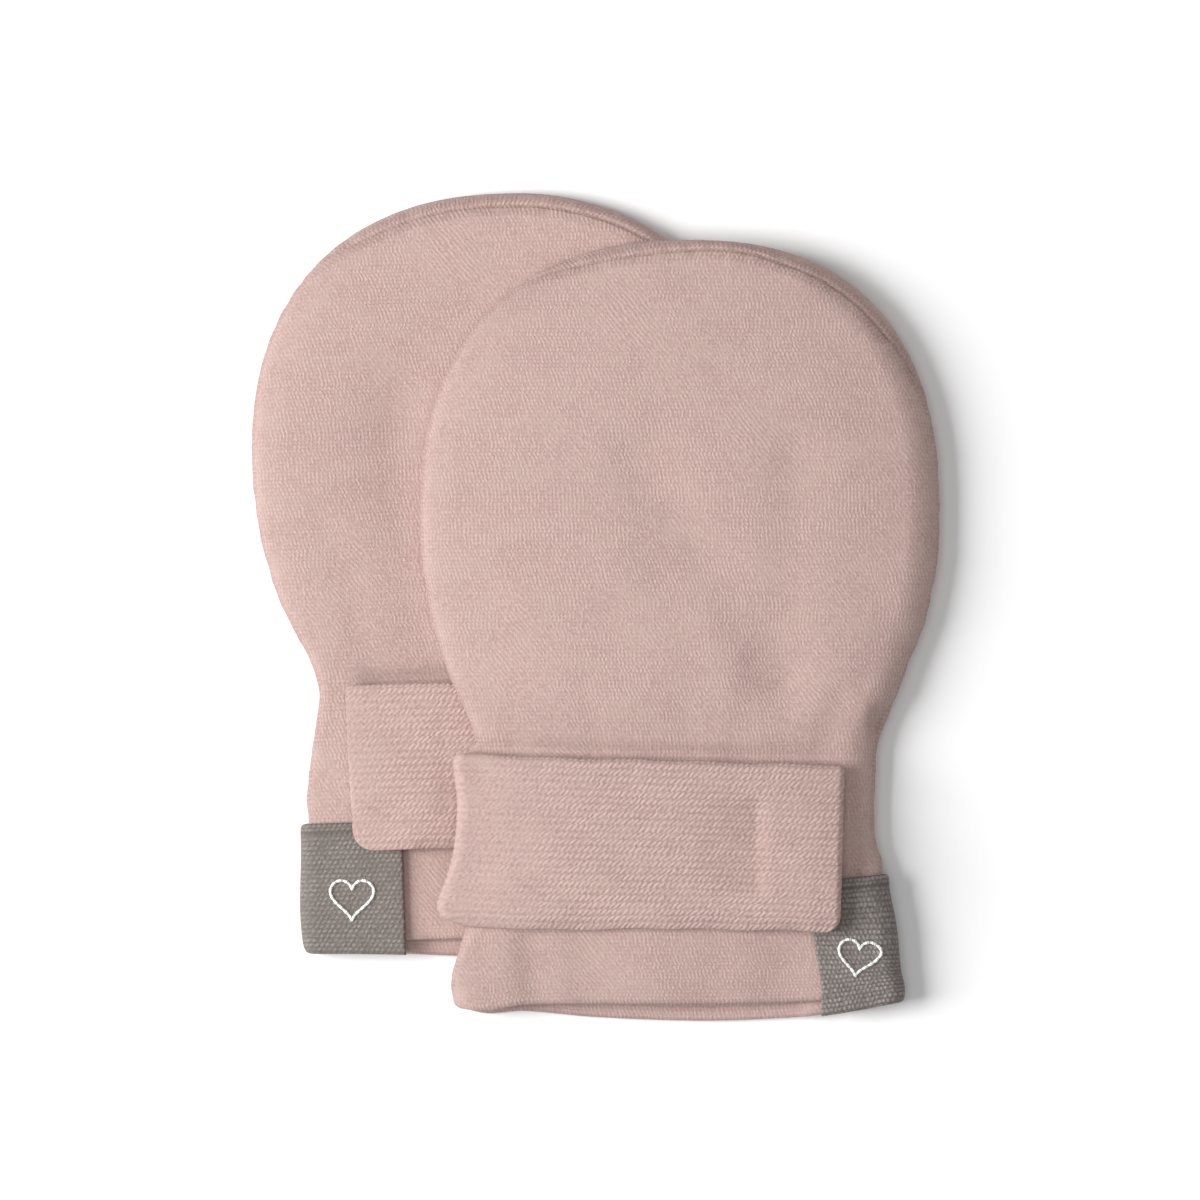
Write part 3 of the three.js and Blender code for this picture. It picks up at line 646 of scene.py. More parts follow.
def panel_object(mitten, panel, material):
    is_front = panel == "front"
    x, up, middle_up, shared = stations_of(mitten, is_front)
    column = [v[:, None] for v in (x, up, middle_up)]
    edge = Edge(mitten, *column)
    seam = seam_angle(mitten, edge)
    end = math.pi / 2 if is_front else -math.pi / 2
    turn = (np.arange(EDGE_RINGS) / EDGE_RINGS) ** 1.35
    angle = seam + (end - seam) * turn
    first = edge.top_round if is_front else edge.under_round
    inset = first + (edge.reach - first) * np.linspace(0, 1, FLAT_RINGS[panel] + 1)
    wall_edge = wall_at(mitten, *edge.place(3.0))
    wall_flat = mix(wall_edge, wall_at(mitten, *edge.place(inset)), ramp(first, first + 4, inset))
    wall = np.concatenate([wall_edge + 0 * angle, wall_flat], axis=1)
    edge_columns = angle.shape[1]

    def surface(outward, along):
        bent = edge.rounded(angle, outward[:, :edge_columns], along[:, :edge_columns])
        level = edge.flat(inset, is_front, outward[:, edge_columns:])
        return [np.concatenate([a, b], axis=1) for a, b in zip(bent, level)]

    zero = np.zeros_like(wall)
    base = surface(zero, zero)
    off_seam = arc_lengths(*base, axis=1)
    around = arc_lengths(x, up, axis=0)[:, None] + zero
    raised = relief(mitten, panel, base[0], base[1], around, off_seam)
    from_hem = up - up[0]
    thick = round_share(off_seam, SEAM_ROUND, SEAM_THIN) * round_share(from_hem, HEM_ROUND)[:, None]
    along = np.maximum(0, 1 - off_seam / 0.9) * SEAM_CLEAR * (1 if is_front else -1)
    outer = surface(raised - wall / 2 * (1 - thick), along)
    inner = surface(raised - wall / 2 * (1 + thick), along)
    nets = []
    for net_x, net_up, net_z in (outer, inner):
        net_up = hem_bend(mitten, panel, net_x, net_up)
        nets.append(in_metres(mitten, net_x, net_up, net_z))
    from_middle = off_seam[:, -1:] - off_seam
    cloth_u = -edge.in_x * from_middle * mitten.mirror
    cloth_uv = np.stack([cloth_u, middle_up[:, None] - edge.in_up * from_middle], axis=-1)
    seam_uv = np.stack([around, off_seam], axis=-1)
    name = panel + "_knit_" + mitten.name
    return shell(name, *nets, {"Cloth": cloth_uv, "Seam": seam_uv}, material, shared)


# Strap
STRAP_ROWS = 168
STRAP_EDGE_ROWS = [0, 0.03, 0.1, 0.22, 0.4, 0.62, 0.86]
STRAP_END_COLUMNS = [0.9, 0.66, 0.45, 0.28, 0.14, 0.05, 0]
STRAP_SEAM_COLUMNS = 14
STRAP_TURN_COLUMNS = 40
STRAP_RUN_STEP = 0.45
STRAP_EDGE = 1.6
STRAP_LOW_EDGE = 3.2
FOLD_SUNK = 0.55
FOLD_TIGHT = 0.55
STRAP_RIDGE = 0.1
FOLD_LINE_X = -37
SEAM_LINE_X = -34
RUN_START_X = -35
HIGH_CORNER = 1.3
END_SLANT = 0.8
IMPRINT_SLOPE = 12
IMPRINT_STEP = 2.6


def patch_window(mitten, x, across, margin):
    """1 over the hook patch and 0 beyond a margin round it."""
    width = mitten.strap.high - mitten.strap.low
    sideways = np.maximum(HOOK_PATCH.from_x - x, x - HOOK_PATCH.to_x)
    upwards = np.maximum(HOOK_PATCH.low - across, across - HOOK_PATCH.high) * width
    return (1 - smooth(0, margin, sideways)) * (1 - smooth(0, margin, upwards))


def strap_rest(mitten, x, up):
    return topside(mitten, x, up) + SEAM_GAP + LABEL_ROOM * label_window(mitten, x, up)


def strap_swell(mitten, x, up):
    """How far the strap's top rises over the label's flap: softly, and never below its own lower face."""
    label = mitten.label
    beside = smooth(label.inner - 15, label.inner - 1, x)
    return LABEL_ROOM * beside * (1 - smooth(label.high + 1, label.high + 14, up))


def strap_object(mitten, material):
    strap = mitten.strap
    width = strap.high - strap.low
    ends = np.array(STRAP_EDGE_ROWS) / width
    between = np.linspace(ends[-1], 1 - ends[-1], STRAP_ROWS)[1:-1]
    across = np.concatenate([ends, between, 1 - ends[::-1]])[:, None]
    low_share = ramp(0, STRAP_LOW_EDGE, across * width)
    thin = np.minimum(1 - 0.85 * (1 - low_share) ** 2, round_share(across * width, 0.5))
    thin = np.minimum(thin, round_share((1 - across) * width, STRAP_EDGE))
    fold_up = strap_up(mitten, across, FOLD_LINE_X)
    fold_x = read_table(mitten.strap_fold, "up", fold_up, "x")
    seam_up = strap_up(mitten, across, SEAM_LINE_X) + STRAP_RISE * across
    seam_x = -half_width(mitten, True, seam_up) - STRAP_SEAM_SPACE
    edge_under = underside(mitten, seam_x, seam_up)
    edge_top = topside(mitten, seam_x, seam_up)
    seam_z = mix(edge_under, edge_top, edge_level(edge_top - edge_under))
    thick = mix(STRAP_WALL, STRAP_PRESSED, press_share(mitten, fold_x, fold_up)) - FOLD_SUNK
    turn_top = strap_rest(mitten, fold_x + 3, fold_up) + thick / 2
    turn_radius = (turn_top - seam_z) / 2
    turn_reach = turn_radius * FOLD_TIGHT
    turn_x = np.minimum(fold_x + turn_reach + thick / 2, seam_x - 0.2)

    share = np.arange(STRAP_SEAM_COLUMNS) / STRAP_SEAM_COLUMNS
    leg = [mix(seam_x, turn_x, share), mix(seam_up, fold_up, share), seam_z + 0 * share]
    leg += [0 * leg[0], -1 + 0 * leg[0], thick / 2 * thin + 0 * leg[0]]

    angle = np.arange(STRAP_TURN_COLUMNS) / STRAP_TURN_COLUMNS * math.pi
    normal_x = -np.sin(angle) + 0 * turn_x
    normal_z = -np.cos(angle) + 0 * turn_x
    turn = [turn_x + normal_x * turn_reach, fold_up + 0 * normal_x]
    turn += [seam_z + turn_radius + normal_z * turn_radius]
    norm = np.hypot(normal_x / FOLD_TIGHT, normal_z)
    turn += [normal_x / FOLD_TIGHT / norm, normal_z / norm, thick / 2 * thin + 0 * normal_x]

    cut = strap.corner * (1 - round_share(across * width, strap.corner, 0))
    cut = cut + HIGH_CORNER * (1 - round_share((1 - across) * width, HIGH_CORNER, 0))
    end_x = strap.free_x - END_SLANT * (1 - across) - cut
    last = strap.free_x - np.array(STRAP_END_COLUMNS)
    run_x = np.concatenate([np.arange(RUN_START_X, last[0] - STRAP_RUN_STEP / 2, STRAP_RUN_STEP), last])
    x = mix(turn_x, end_x, ramp(RUN_START_X, strap.free_x, run_x))
    bend = strap_bend(mitten, across, x)
    up = strap_up(mitten, across, x) + bend
    over_patch = across + bend / width
    rest = strap_rest(mitten, x, up)
    press = press_share(mitten, x, up)
    full = mix(STRAP_WALL, STRAP_PRESSED, press) - FOLD_SUNK * (1 - smooth(-35, -27.5, x))
    full = full - strap.end_sunk * smooth(strap.free_x - 18, strap.free_x, x)
    low = rest + (PATCH_WALL + 0.25) * patch_window(mitten, x, over_patch, 1.2)
    over_label = strap_swell(mitten, x, up) - LABEL_ROOM * label_window(mitten, x, up)
    imprint = HOOK_PATCH.imprint * ramp(-IMPRINT_SLOPE, 0, x - HOOK_PATCH.to_x) ** 2
    imprint = imprint * ramp(IMPRINT_STEP, 0, x - HOOK_PATCH.to_x) ** 1.5 * (1 - press)
    imprint = imprint * smooth(-0.07, 0.03, HOOK_PATCH.high - over_patch)
    imprint = imprint * smooth(-0.07, 0.03, over_patch - HOOK_PATCH.low)
    high = rest + full + over_label - imprint
    half = (high - low) / 2 * np.minimum(thin, round_share(strap.free_x - run_x, strap.end))
    run = [x, up, (high + low) / 2, 0 * x, 1 + 0 * x, half]

    x, up, z, normal_x, normal_z, half = (np.concatenate(parts, axis=1) for parts in zip(leg, turn, run))
    seed = 21 if mitten is RIGHT else 23
    length = arc_lengths(x, up, z, axis=1)
    run_start = length[:, STRAP_SEAM_COLUMNS + STRAP_TURN_COLUMNS][:, None]
    cloth_u = length - run_start + turn_x
    cloth_v = across * width + 0 * cloth_u
    course = np.abs(np.cos(math.pi * cloth_v / STRAP_COURSE))
    swell = np.maximum(0, 0.5 + 0.5 * waves(seed, 26, 9, 6, cloth_u, cloth_v))
    sunk = (STRAP_RIDGE * course**3 + 0.14 * swell) * smooth(0.2, 1.6, np.minimum(across, 1 - across) * width)
    wobble = 0.11 * waves(seed + 1, 30, 9, 4, cloth_u, 0)
    up = up + wobble * np.abs(2 * across - 1) ** 3
    over = half - sunk
    top = in_metres(mitten, x + normal_x * over, up, z + normal_z * over)
    bottom = in_metres(mitten, x - normal_x * half, up, z - normal_z * half)
    cloth_uv = np.stack([cloth_u * mitten.mirror, cloth_v], axis=-1)
    return shell("strap_knit_" + mitten.name, top, bottom, {"Cloth": cloth_uv}, material)


# Label
LABEL_ROW_STEP = 0.3
LABEL_FLAP_COLUMNS = 26
LABEL_EDGE_COLUMNS = 40
LABEL_EDGE = 0.5
LABEL_CORNER = 0.5


def label_object(mitten, material):
    label = mitten.label
    high = label.high
    rounding = np.array([0, 0.03, 0.09, 0.2, 0.34])
    between = np.arange(LABEL_LOW + 0.6, high - 0.5, LABEL_ROW_STEP)
    up = np.concatenate([LABEL_LOW + rounding, between, high - rounding[::-1]])[:, None]
    from_side = np.minimum(up - LABEL_LOW, high - up)
    x = half_width(mitten, False, up) - LABEL_CORNER * (1 - round_share(from_side, 1.3, 0))
    edge = Edge(mitten, x, up, up)
    reach = x - label.inner - label.lean * (1 - 2 * smooth(2, 16, up))
    share = np.concatenate([rounding / 9, np.linspace(0.07, 1, LABEL_FLAP_COLUMNS)[:-1]])
    angle = np.linspace(math.pi / 2, -math.pi / 2, LABEL_EDGE_COLUMNS)

    def around(outward):
        columns = share.shape[0]
        over = edge.flat(mix(reach, edge.top_round, share), True, outward[:, :columns])
        bent = edge.rounded(angle, outward[:, columns:-columns])
        under = edge.flat(mix(reach, edge.under_round, share[::-1]), False, outward[:, -columns:])
        parts = zip(over, bent, under)
        return [np.concatenate([a + 0 * b[:, :1], b, c + 0 * b[:, :1]], axis=1) for a, b, c in parts]

    middle = SEAM_GAP + LABEL_WALL / 2
    level = np.full((len(up), 2 * len(share) + len(angle)), middle)
    base = around(level)
    run = arc_lengths(*base, axis=1)
    from_end = np.minimum(run, run[:, -1:] - run)
    thick = round_share(from_end, LABEL_EDGE) * round_share(from_side, LABEL_EDGE)
    nets = []
    for side in (1, -1):
        net_x, net_up, net_z = around(level + side * LABEL_WALL / 2 * thick)
        net_up = hem_bend(mitten, "back", net_x, net_up)
        lifted = label.lift + label.tilt * (net_x - 27)
        net_up = net_up + lifted * smooth(9, high, up)
        nets.append(in_metres(mitten, net_x, net_up, net_z))
    cloth_uv = np.stack([run, up + 0 * run], axis=-1)
    seam_uv = np.stack([high - up + 0 * run, from_end], axis=-1)
    return shell("label_weave_" + mitten.name, *nets, {"Cloth": cloth_uv, "Seam": seam_uv}, material)


# Motif: a plain heart in a line of stitches
THREAD_RADIUS = 0.27
STITCH = 1.15
HEART_POINTS = 260
THREAD_SIDES = 8


def on_label(mitten, x, up, outward):
    station_x = half_width(mitten, False, up)
    edge = Edge(mitten, station_x, up, up)
    inset = station_x - x
    angle = np.arccos(np.clip(1 - inset / edge.top_round, 0, 1))
    bent = edge.rounded(angle, outward)
    level = edge.flat(inset, True, outward)
    rounded = inset < edge.top_round
    place = [np.where(rounded, a, b) for a, b in zip(bent, level)]
    return in_metres(mitten, place[0], hem_bend(mitten, "back", place[0], place[1]), place[2])


def motif_object(mitten, material):
    heart = mitten.heart
    t = np.linspace(0, 2 * math.pi, HEART_POINTS, endpoint=False)
    across = 16 * np.sin(t) ** 3 / 17
    rise = (13 * np.cos(t) - 5 * np.cos(2 * t) - 2 * np.cos(3 * t) - np.cos(4 * t)) / 17
    turn = math.radians(heart.turn)
    x = heart.x + heart.size * (across * math.cos(turn) - rise * math.sin(turn))
    up = heart.up + heart.size * (across * math.sin(turn) + rise * math.cos(turn))
    line = arc_lengths(x, up, axis=0)
    stitches = round((line[-1] + np.hypot(x[0] - x[-1], up[0] - up[-1])) / STITCH)
    phase = line / line[-1] * stitches
    bulge = np.abs(np.sin(math.pi * phase))
    centre = on_label(mitten, x, up, SEAM_GAP + LABEL_WALL + 0.02 + 0.12 * bulge)
    ahead = np.roll(centre, -1, axis=0) - np.roll(centre, 1, axis=0)
    ahead /= np.linalg.norm(ahead, axis=1, keepdims=True)
    side = np.cross(ahead, [0, 0, 1.0])
    side /= np.linalg.norm(side, axis=1, keepdims=True)
    rise_axis = np.cross(side, ahead)
    radius = THREAD_RADIUS * MM * (0.72 + 0.28 * bulge)
    points = []
    for k in range(THREAD_SIDES):
        a = 2 * math.pi * k / THREAD_SIDES
        points.append(centre + (side * math.cos(a) + rise_axis * 0.75 * math.sin(a)) * radius[:, None])
    points = np.stack(points, axis=1)
    index = np.arange(HEART_POINTS * THREAD_SIDES).reshape(HEART_POINTS, THREAD_SIDES)
    quads = net(np.pad(index, ((0, 1), (0, 1)), mode="wrap"))
    flat = points.reshape(-1, 3)
    if signed_volume(flat, quads) < 0:
        quads = quads[:, ::-1]
    twist = np.arange(THREAD_SIDES) / THREAD_SIDES
    uv = np.stack([line[:, None] + 0 * twist, twist + 0 * line[:, None]], axis=-1).reshape(-1, 2)
    return make_object("motif_stitches_" + mitten.name, flat, quads.tolist(), {"Cloth": uv}, material)


# Materials. What a cloth shows on screen in the scene's light is a little lighter than its tones.
class Tree:
    """A material's node tree, with short calls for its nodes."""

    def __init__(self, name):
        self.material = bpy.data.materials.new(name)
        self.material.use_nodes = True
        self.nodes = self.material.node_tree.nodes
        self.links = self.material.node_tree.links
        self.shader = self.nodes["Principled BSDF"]

    def put(self, socket, value):
        if isinstance(value, bpy.types.NodeSocket):
            self.links.new(value, socket)
        else:
            socket.default_value = value

    def add(self, kind, output=0, inputs=(), **settings):
        node = self.nodes.new(kind)
        for key, value in settings.items():
            setattr(node, key, value)
        for key, value in dict(inputs).items():
            self.put(node.inputs[key], value)
        return node.outputs[output]

    def math(self, operation, a, b=0.0, c=0.0):
        return self.add("ShaderNodeMath", inputs={0: a, 1: b, 2: c}, operation=operation)

    def times(self, a, b):
        return self.math("MULTIPLY", a, b)

    def line(self, value, slope, start):
        return self.math("MULTIPLY_ADD", value, slope, start)

    def range(self, value, low, high, to_low=0.0, to_high=1.0):
        inputs = {0: value, 1: low, 2: high, 3: to_low, 4: to_high}
        return self.add("ShaderNodeMapRange", inputs=inputs, clamp=True, interpolation_type="SMOOTHSTEP")

    def noise(self, vector, scale, detail=2.0, roughness=0.5):
        inputs = {"Vector": vector, "Scale": scale, "Detail": detail, "Roughness": roughness}
        return self.add("ShaderNodeTexNoise", inputs=inputs)

    def scaled(self, vector, x, y):
        return self.add("ShaderNodeMapping", inputs={"Vector": vector, "Scale": (x, y, 1.0)})

    def blend(self, share, a, b):
        return self.add("ShaderNodeMix", output=2, inputs={0: share, 6: a, 7: b}, data_type="RGBA")

    def split(self, vector):
        x = self.add("ShaderNodeSeparateXYZ", inputs={0: vector})
        return x, x.node.outputs[1]

    def uv(self, name):
        vector = self.add("ShaderNodeUVMap", uv_map=name)
        return vector, *self.split(vector)

    def painted_slope_shade(self, colour):
        """Painted shade: the colour is darkened on faces turned to the left, up or down, by their normal."""
        x, y = self.split(self.add("ShaderNodeNewGeometry", output=1))
        share = self.line(self.math("ABSOLUTE", y), 0.12, self.line(x, -0.36, 0.1))
        return self.blend(self.range(share, 0.0, 0.3, 0.0, 0.3), colour, (0.0, 0.0, 0.0, 1.0))

    def chance(self, *parts):
        """A random number from 0 to 1 for each whole step of the given values."""
        cell = self.add("ShaderNodeCombineXYZ", inputs=enumerate(parts))
        return self.add("ShaderNodeTexWhiteNoise", inputs={"Vector": cell})

    def rows(self, value):
        """The number of a row, and the place in it from 0 to 1."""
        return self.math("FLOOR", value), self.math("FRACT", value)

    def off_middle(self, in_row, power):
        """0 in the middle of a row and 1 at its two edges."""
        hollow = self.math("ABSOLUTE", self.line(in_row, 2.0, -1.0))
        return self.math("POWER", hollow, power)

    def wave(self, phase):
        """A cosine of a number of turns, from 0 to 1."""
        turned = self.times(phase, 2 * math.pi)
        return self.line(self.math("COSINE", turned), 0.5, 0.5)

    def bump(self, height, distance):
        inputs = {"Strength": 1.0, "Distance": distance, "Height": height}
        return self.add("ShaderNodeBump", inputs=inputs)

    def finish(self, **sockets):
        for name, value in sockets.items():
            self.put(self.shader.inputs[name.replace("_", " ")], value)
        return self.material


def tone(red, green, blue):
    """A colour named by its screen values, as the linear colour that shaders take."""
    channels = []
    for value in (red, green, blue):
        share = value / 255
        channels.append(share / 12.92 if share <= 0.04045 else ((share + 0.055) / 1.055) ** 2.4)
    return (*channels, 1.0)


JERSEY = Form(
    tones=(tone(206, 178, 171), tone(174, 145, 139), tone(198, 174, 165)),
    fuzz=(2.1, 1.5), mottle=(0.11, 0.3), darkest=0.71, tint=0.2,
    bump=0.00007, roughness=(0.88, 0.98),
)
STRAP_KNIT = Form(
    tones=(tone(214, 186, 179), tone(174, 145, 139), tone(203, 178, 169)),
    fuzz=(1.9, 1.6), mottle=(0.16, 0.25), darkest=0.9, tint=0.22,
    bump=0.0001, roughness=(0.86, 0.97),
)


def finish_knit(tree, cloth, height, look):
    """Fuzz over the height of the stitches, then mottled and tinted colour, painted shade on faces turned
    left, up or down, bump and roughness.
    """
    light, dark, warm = look.tones
    fuzz = tree.noise(cloth, look.fuzz[0], 4.0, 0.75)
    height = tree.line(fuzz, look.fuzz[1], height)
    mottle = tree.noise(tree.scaled(cloth, 0.1, look.mottle[0]), 1.0, 3.0)
    # The colour follows the height, so the hollows of the stitches, the grooves between rows and the sunken
    # band along the seam take the dark tone: painted shade, mixed with random mottle.
    share = tree.line(mottle, look.mottle[1], height)
    colour = tree.blend(tree.range(share, look.darkest, look.darkest + 1), dark, light)
    tint = tree.noise(tree.scaled(cloth, 0.17, look.tint), 1.0, 3.0, 0.6)
    colour = tree.blend(tree.range(tint, 0.42, 0.72, 0.0, 0.5), colour, warm)
    normal = tree.bump(height, look.bump)
    roughness = tree.range(fuzz, 0.3, 0.7, *look.roughness)
    # The base colour carries painted shade on faces turned left, up or down.
    return tree.finish(
        Base_Color=tree.painted_slope_shade(colour), Normal=normal, Roughness=roughness,
        Sheen_Weight=0.05, Sheen_Roughness=0.6, Sheen_Tint=(1.0, 0.95, 0.93, 1.0), Specular_IOR_Level=0.15,
    )


def knit_material(name):
    """Fine jersey: rows of short uneven stitches that fall into slanting lines here and there."""
    tree = Tree(name)
    cloth, u, v = tree.uv("Cloth")
    _, around, off_seam = tree.uv("Seam")
    yarn = tree.noise(tree.scaled(cloth, 0.28, 0.4), 1.0, 3.0, 0.6)
    strayed = tree.line(yarn, 1.6, -0.8)
    row = tree.line(strayed, 0.25, tree.math("DIVIDE", v, COURSE))
    row_index, in_row = tree.rows(row)
    patches = tree.noise(tree.scaled(cloth, 0.06, 0.06), 1.0, 1.0)
    diagonal = tree.range(patches, 0.44, 0.72)
    plain = tree.line(diagonal, -1.0, 1.0)
    across = tree.math("ADD", tree.math("DIVIDE", u, WALE), strayed)
    stitch = tree.math("ADD", tree.math("DIVIDE", u, WALE * 0.77), strayed)
    stitch = tree.line(row_index, 0.28, stitch)
    stitch = tree.line(tree.chance(row_index, 3.0), 0.7, stitch)
    luck = tree.chance(tree.math("FLOOR", stitch), row_index, 1.0)
    dash = tree.wave(tree.line(in_row, 0.2, stitch))
    ridge = tree.wave(tree.line(row, 0.58, across))
    dash = tree.math("ADD", tree.times(dash, plain), tree.times(ridge, diagonal))
    dash = tree.times(dash, tree.line(luck, 0.8, 0.2))
    groove = tree.off_middle(in_row, 2.0)
    height = tree.line(dash, 0.6, 0.28)
    depth = tree.line(plain, 0.08, 0.11)
    height = tree.math("SUBTRACT", height, tree.times(groove, depth))
    # Along the seam the cloth is ribbed and sunk, and through the colour this sunken band is also painted
    # shade.
    near_seam = tree.range(off_seam, 2.0, 1.5)
    rib = tree.wave(tree.math("ADD", tree.math("DIVIDE", around, 0.8), tree.math("DIVIDE", off_seam, 2.6)))
    seam_rib = tree.times(near_seam, tree.line(rib, 0.35, -0.4))
    return finish_knit(tree, cloth, tree.math("ADD", height, seam_rib), JERSEY)


def strap_material(name):
    """Coarse rows of slanting stitches, some rows parted by a groove that the colour turns into a dark line
    of painted shade.
    """
    tree = Tree(name)
    cloth, u, v = tree.uv("Cloth")
    yarn = tree.noise(tree.scaled(cloth, 0.3, 0.45), 1.0, 3.0, 0.6)
    strayed = tree.line(yarn, 1.5, -0.75)
    row = tree.line(strayed, 0.14, tree.math("DIVIDE", v, STRAP_COURSE))
    row_index, in_row = tree.rows(row)
    row_luck = tree.chance(row_index, 5.0)
    stitch = tree.math("ADD", tree.math("DIVIDE", u, STRAP_WALE), strayed)
    stitch = tree.line(row_index, -0.58, stitch)
    stitch = tree.line(row_luck, 0.25, stitch)
    stitch = tree.line(in_row, -1.08, stitch)
    luck = tree.chance(tree.math("FLOOR", stitch), row_index, 2.0)
    legs = tree.times(tree.wave(stitch), tree.line(luck, 0.6, 0.4))
    groove = tree.off_middle(in_row, 3.5)
    parted = tree.noise(tree.scaled(cloth, 0.09, 1 / STRAP_COURSE), 1.0, 1.0)
    groove = tree.times(groove, tree.range(parted, 0.35, 0.65, 0.3, 0.7))
    row_body = tree.line(groove, -1.0, 1.0)
    height = tree.times(row_body, tree.line(legs, 0.75, 0.3))
    calm = tree.range(u, -38.0, -12.0, 0.25, 1.0)
    height = tree.line(tree.math("SUBTRACT", height, 0.5), calm, 0.5)
    return finish_knit(tree, cloth, height, STRAP_KNIT)


def label_material(name, light, dark, border, pitches, slant):
    """Woven canvas tape: rows of short light floats of uneven brightness over a dark ground."""
    tree = Tree(name)
    cloth, u, v = tree.uv("Cloth")
    _, from_top, _ = tree.uv("Seam")
    stray = tree.line(tree.noise(cloth, 0.5, 3.0, 0.6), 1.0, -0.5)
    row = tree.line(stray, 0.5, tree.math("DIVIDE", v, pitches[0]))
    row_index, in_row = tree.rows(row)
    wale = tree.math("ADD", tree.math("DIVIDE", u, pitches[1]), tree.times(stray, 0.6))
    wale = tree.line(row_index, 0.5, wale)
    wale = tree.line(tree.chance(row_index, 7.0), 0.2, wale)
    wale = tree.line(in_row, slant, wale)
    luck = tree.chance(tree.math("FLOOR", wale), row_index, 4.0)
    in_wale = tree.wave(wale)
    over = tree.math("SUBTRACT", 1.0, tree.off_middle(in_row, 2.0))
    floats = tree.times(over, tree.line(in_wale, 0.6, 0.4))
    weave = tree.times(floats, tree.line(luck, 0.55, 0.4))
    fleck = tree.noise(tree.scaled(cloth, 2.2, 1.9), 1.0, 4.0, 0.75)
    share = tree.line(weave, 0.62, tree.line(fleck, 1.5, -0.5))
    colour = tree.blend(tree.range(share, 0.0, 1.0), dark, light)
    mottle = tree.noise(cloth, 0.25, 3.0)
    colour = tree.blend(tree.range(mottle, 0.35, 0.75, 0.0, 0.35), colour, border)
    # Painted shade: a dark line 1.1 to 2.1 mm below the top edge, in the groove that the height sinks there.
    # The same darker tone also gives the random mottle.
    painted_shade_line = tree.times(tree.range(from_top, 2.1, 1.7), tree.range(from_top, 1.1, 1.5))
    colour = tree.blend(tree.times(painted_shade_line, 0.8), colour, border)
    height = tree.line(fleck, 0.5, weave)
    height = tree.line(painted_shade_line, -0.6, height)
    normal = tree.bump(height, 0.00016)
    roughness = tree.range(fleck, 0.3, 0.7, 0.8, 0.94)
    # The base colour carries painted shade on faces turned left, up or down.
    return tree.finish(
        Base_Color=tree.painted_slope_shade(colour), Normal=normal, Roughness=roughness,
        Sheen_Weight=0.04, Sheen_Roughness=0.5, Specular_IOR_Level=0.2,
    )


def thread_material(name, light, dark):
    """Smooth thread with a fine twist."""
    tree = Tree(name)
    _, u, v = tree.uv("Cloth")
    twist = tree.wave(tree.math("ADD", tree.math("DIVIDE", u, 0.35), v))
    colour = tree.blend(tree.range(twist, 0.0, 0.8), dark, light)
    normal = tree.bump(twist, 0.00005)
    roughness = tree.range(twist, 0.0, 1.0, 0.7, 0.55)
    return tree.finish(
        Base_Color=colour, Normal=normal, Roughness=roughness,
        Sheen_Weight=0.1, Specular_IOR_Level=0.4,
    )


def hook_material(name, light, dark):
    """Rows of small hooks on a backing tape."""
    tree = Tree(name)
    place = tree.add("ShaderNodeTexCoord", output=3)
    hooks = tree.add("ShaderNodeTexVoronoi", inputs={"Vector": place, "Scale": 1400.0, "Randomness": 0.35})
    grain = tree.noise(place, 900.0, 2.0)
    colour = tree.blend(tree.range(hooks, 0.1, 0.55), light, dark)
    height = tree.line(grain, 0.2, tree.math("SUBTRACT", 1.0, hooks))
    normal = tree.bump(height, 0.0003)
    roughness = tree.range(grain, 0.3, 0.7, 0.45, 0.62)
    return tree.finish(Base_Color=colour, Normal=normal, Roughness=roughness, Specular_IOR_Level=0.45)


body_material = knit_material("pink_jersey")
tape_material = strap_material("pink_strap_knit")
left_tones = (tone(158, 150, 144), tone(110, 102, 97), tone(112, 103, 98))
right_tones = (tone(176, 168, 163), tone(101, 94, 90), tone(108, 99, 95))
weave_material = {
    "left": label_material("grey_canvas_left", *left_tones, (0.74, 0.87), 0.5),
    "right": label_material("grey_canvas_right", *right_tones, (0.8, 0.72), 0.1),
}
white_thread = thread_material("white_thread", tone(250, 249, 246), tone(222, 219, 214))
hooks_material = hook_material("hook_tape", tone(199, 178, 172), tone(150, 130, 124))

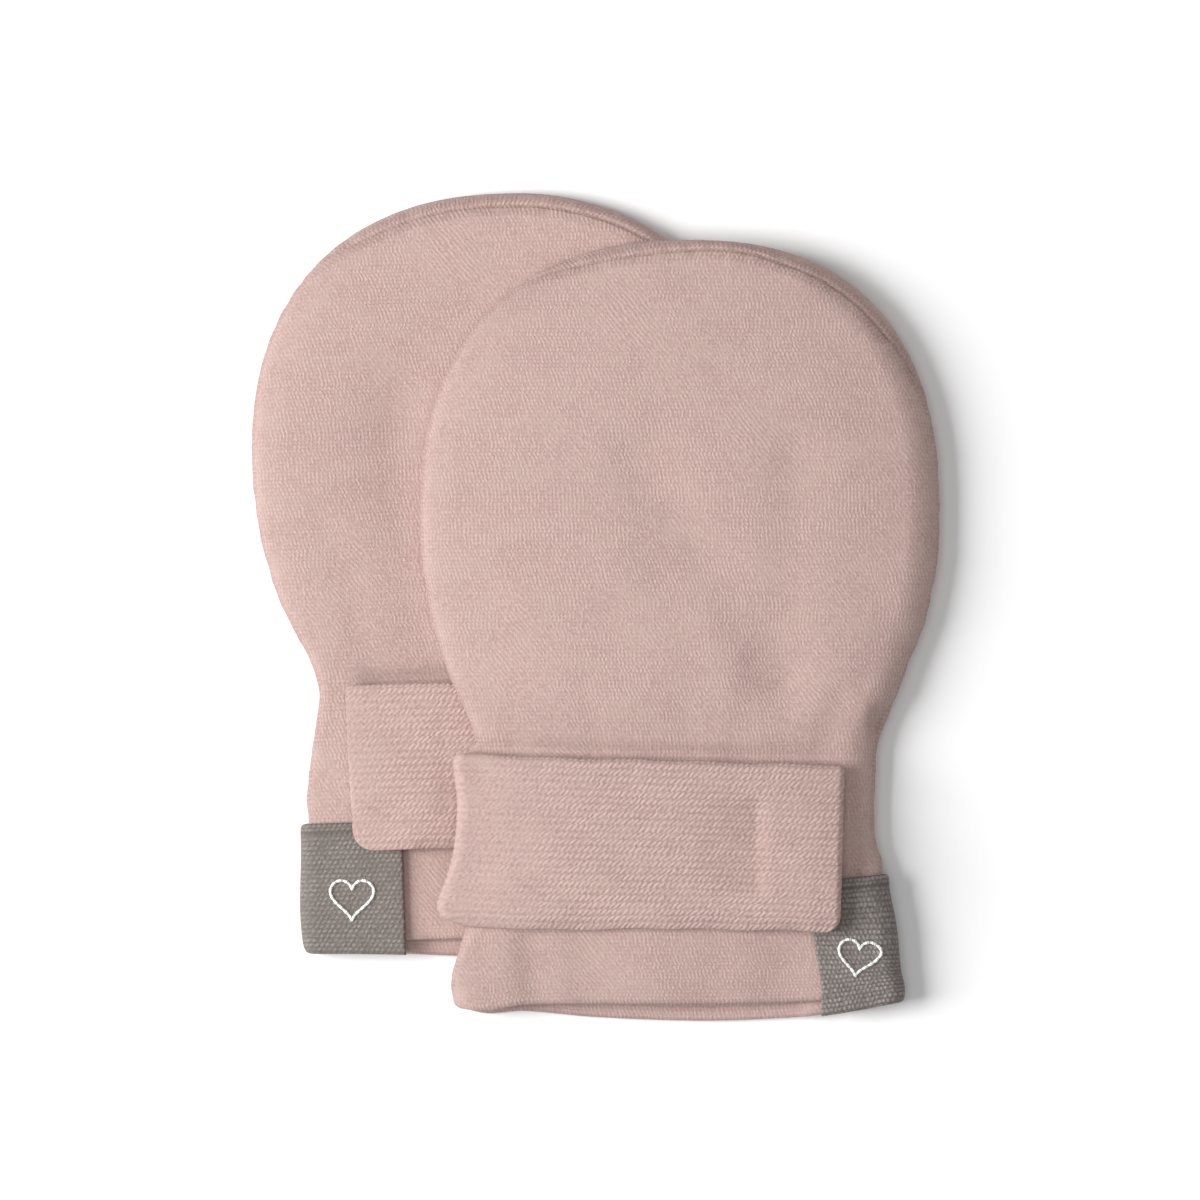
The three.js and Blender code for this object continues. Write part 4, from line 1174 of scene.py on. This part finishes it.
for mitten, lies_on in ((LEFT, "floor"), (RIGHT, "front_panel_left")):
    side = mitten.name
    back = panel_object(mitten, "back", body_material)
    front = panel_object(mitten, "front", body_material)
    strap = strap_object(mitten, tape_material)
    label = label_object(mitten, weave_material[side])
    motif = motif_object(mitten, white_thread)
    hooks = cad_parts["hook_patch_" + side]
    hooks.data.materials.clear()
    hooks.data.materials.append(hooks_material)
    for piece, node, slot in (
        (back, "back_panel_", "body_knit"),
        (front, "front_panel_", "body_knit"),
        (strap, "strap_", "strap_knit"),
        (label, "label_", "label_weave"),
    ):
        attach(piece, "root")
        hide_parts(node + side)
    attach(motif, "root")

# Floor
FLOOR_REACH = 3.0
FLOOR_LOWERED = 0.00002
corners = np.array([(-1, -1, 0), (1, -1, 0), (1, 1, 0), (-1, 1, 0)]) * FLOOR_REACH
corners = corners - (0, 0, FLOOR_LOWERED)
pale = Tree("pale_floor").finish(Base_Color=(0.92, 0.92, 0.92, 1.0), Roughness=0.9, Specular_IOR_Level=0.1)
floor = make_object("floor", corners, [(0, 1, 2, 3)], {}, pale)

# Light: a large soft one from the left, one overhead, and an even fill from all round
FILL = 0.25


def soft_light(name, distance, elevation, tall, wide, power):
    light = bpy.data.lights.new(name, "AREA")
    light.shape = "RECTANGLE"
    light.size = tall
    light.size_y = wide
    light.energy = power
    light_object = add_to_scene(name, light)
    light_object.location = (-distance * math.cos(elevation), 0.0, distance * math.sin(elevation))
    light_object.rotation_euler = (0.0, -(math.pi / 2 - elevation), 0.0)


soft_light("key", 1.2, math.radians(32), 0.9, 0.6, 25.5)
soft_light("overhead", 1.6, math.radians(90), 1.2, 1.2, 6.0)
world = bpy.data.worlds.new("fill")
world.use_nodes = True
background = world.node_tree.nodes["Background"].inputs
background["Color"].default_value = (1.0, 1.0, 1.0, 1.0)
background["Strength"].default_value = FILL
bpy.context.scene.world = world
bpy.context.scene.view_settings.view_transform = "Standard"

# Camera: straight above, with a long lens
FRAME_WIDTH = 0.198
CAMERA_HEIGHT = 2.0
SENSOR = 36.0
FRAME_MIDDLE = (0.66, 1.07)
camera = bpy.data.cameras.new("camera")
camera.sensor_width = SENSOR
camera.lens = SENSOR * CAMERA_HEIGHT / FRAME_WIDTH
camera.clip_end = 20.0
camera_object = add_to_scene("camera", camera)
camera_object.location = (
    (FRAME_MIDDLE[0] + SHIFT_X) * MM,
    (FRAME_MIDDLE[1] + SHIFT_Y) * MM,
    CAMERA_HEIGHT,
)
bpy.context.scene.camera = camera_object
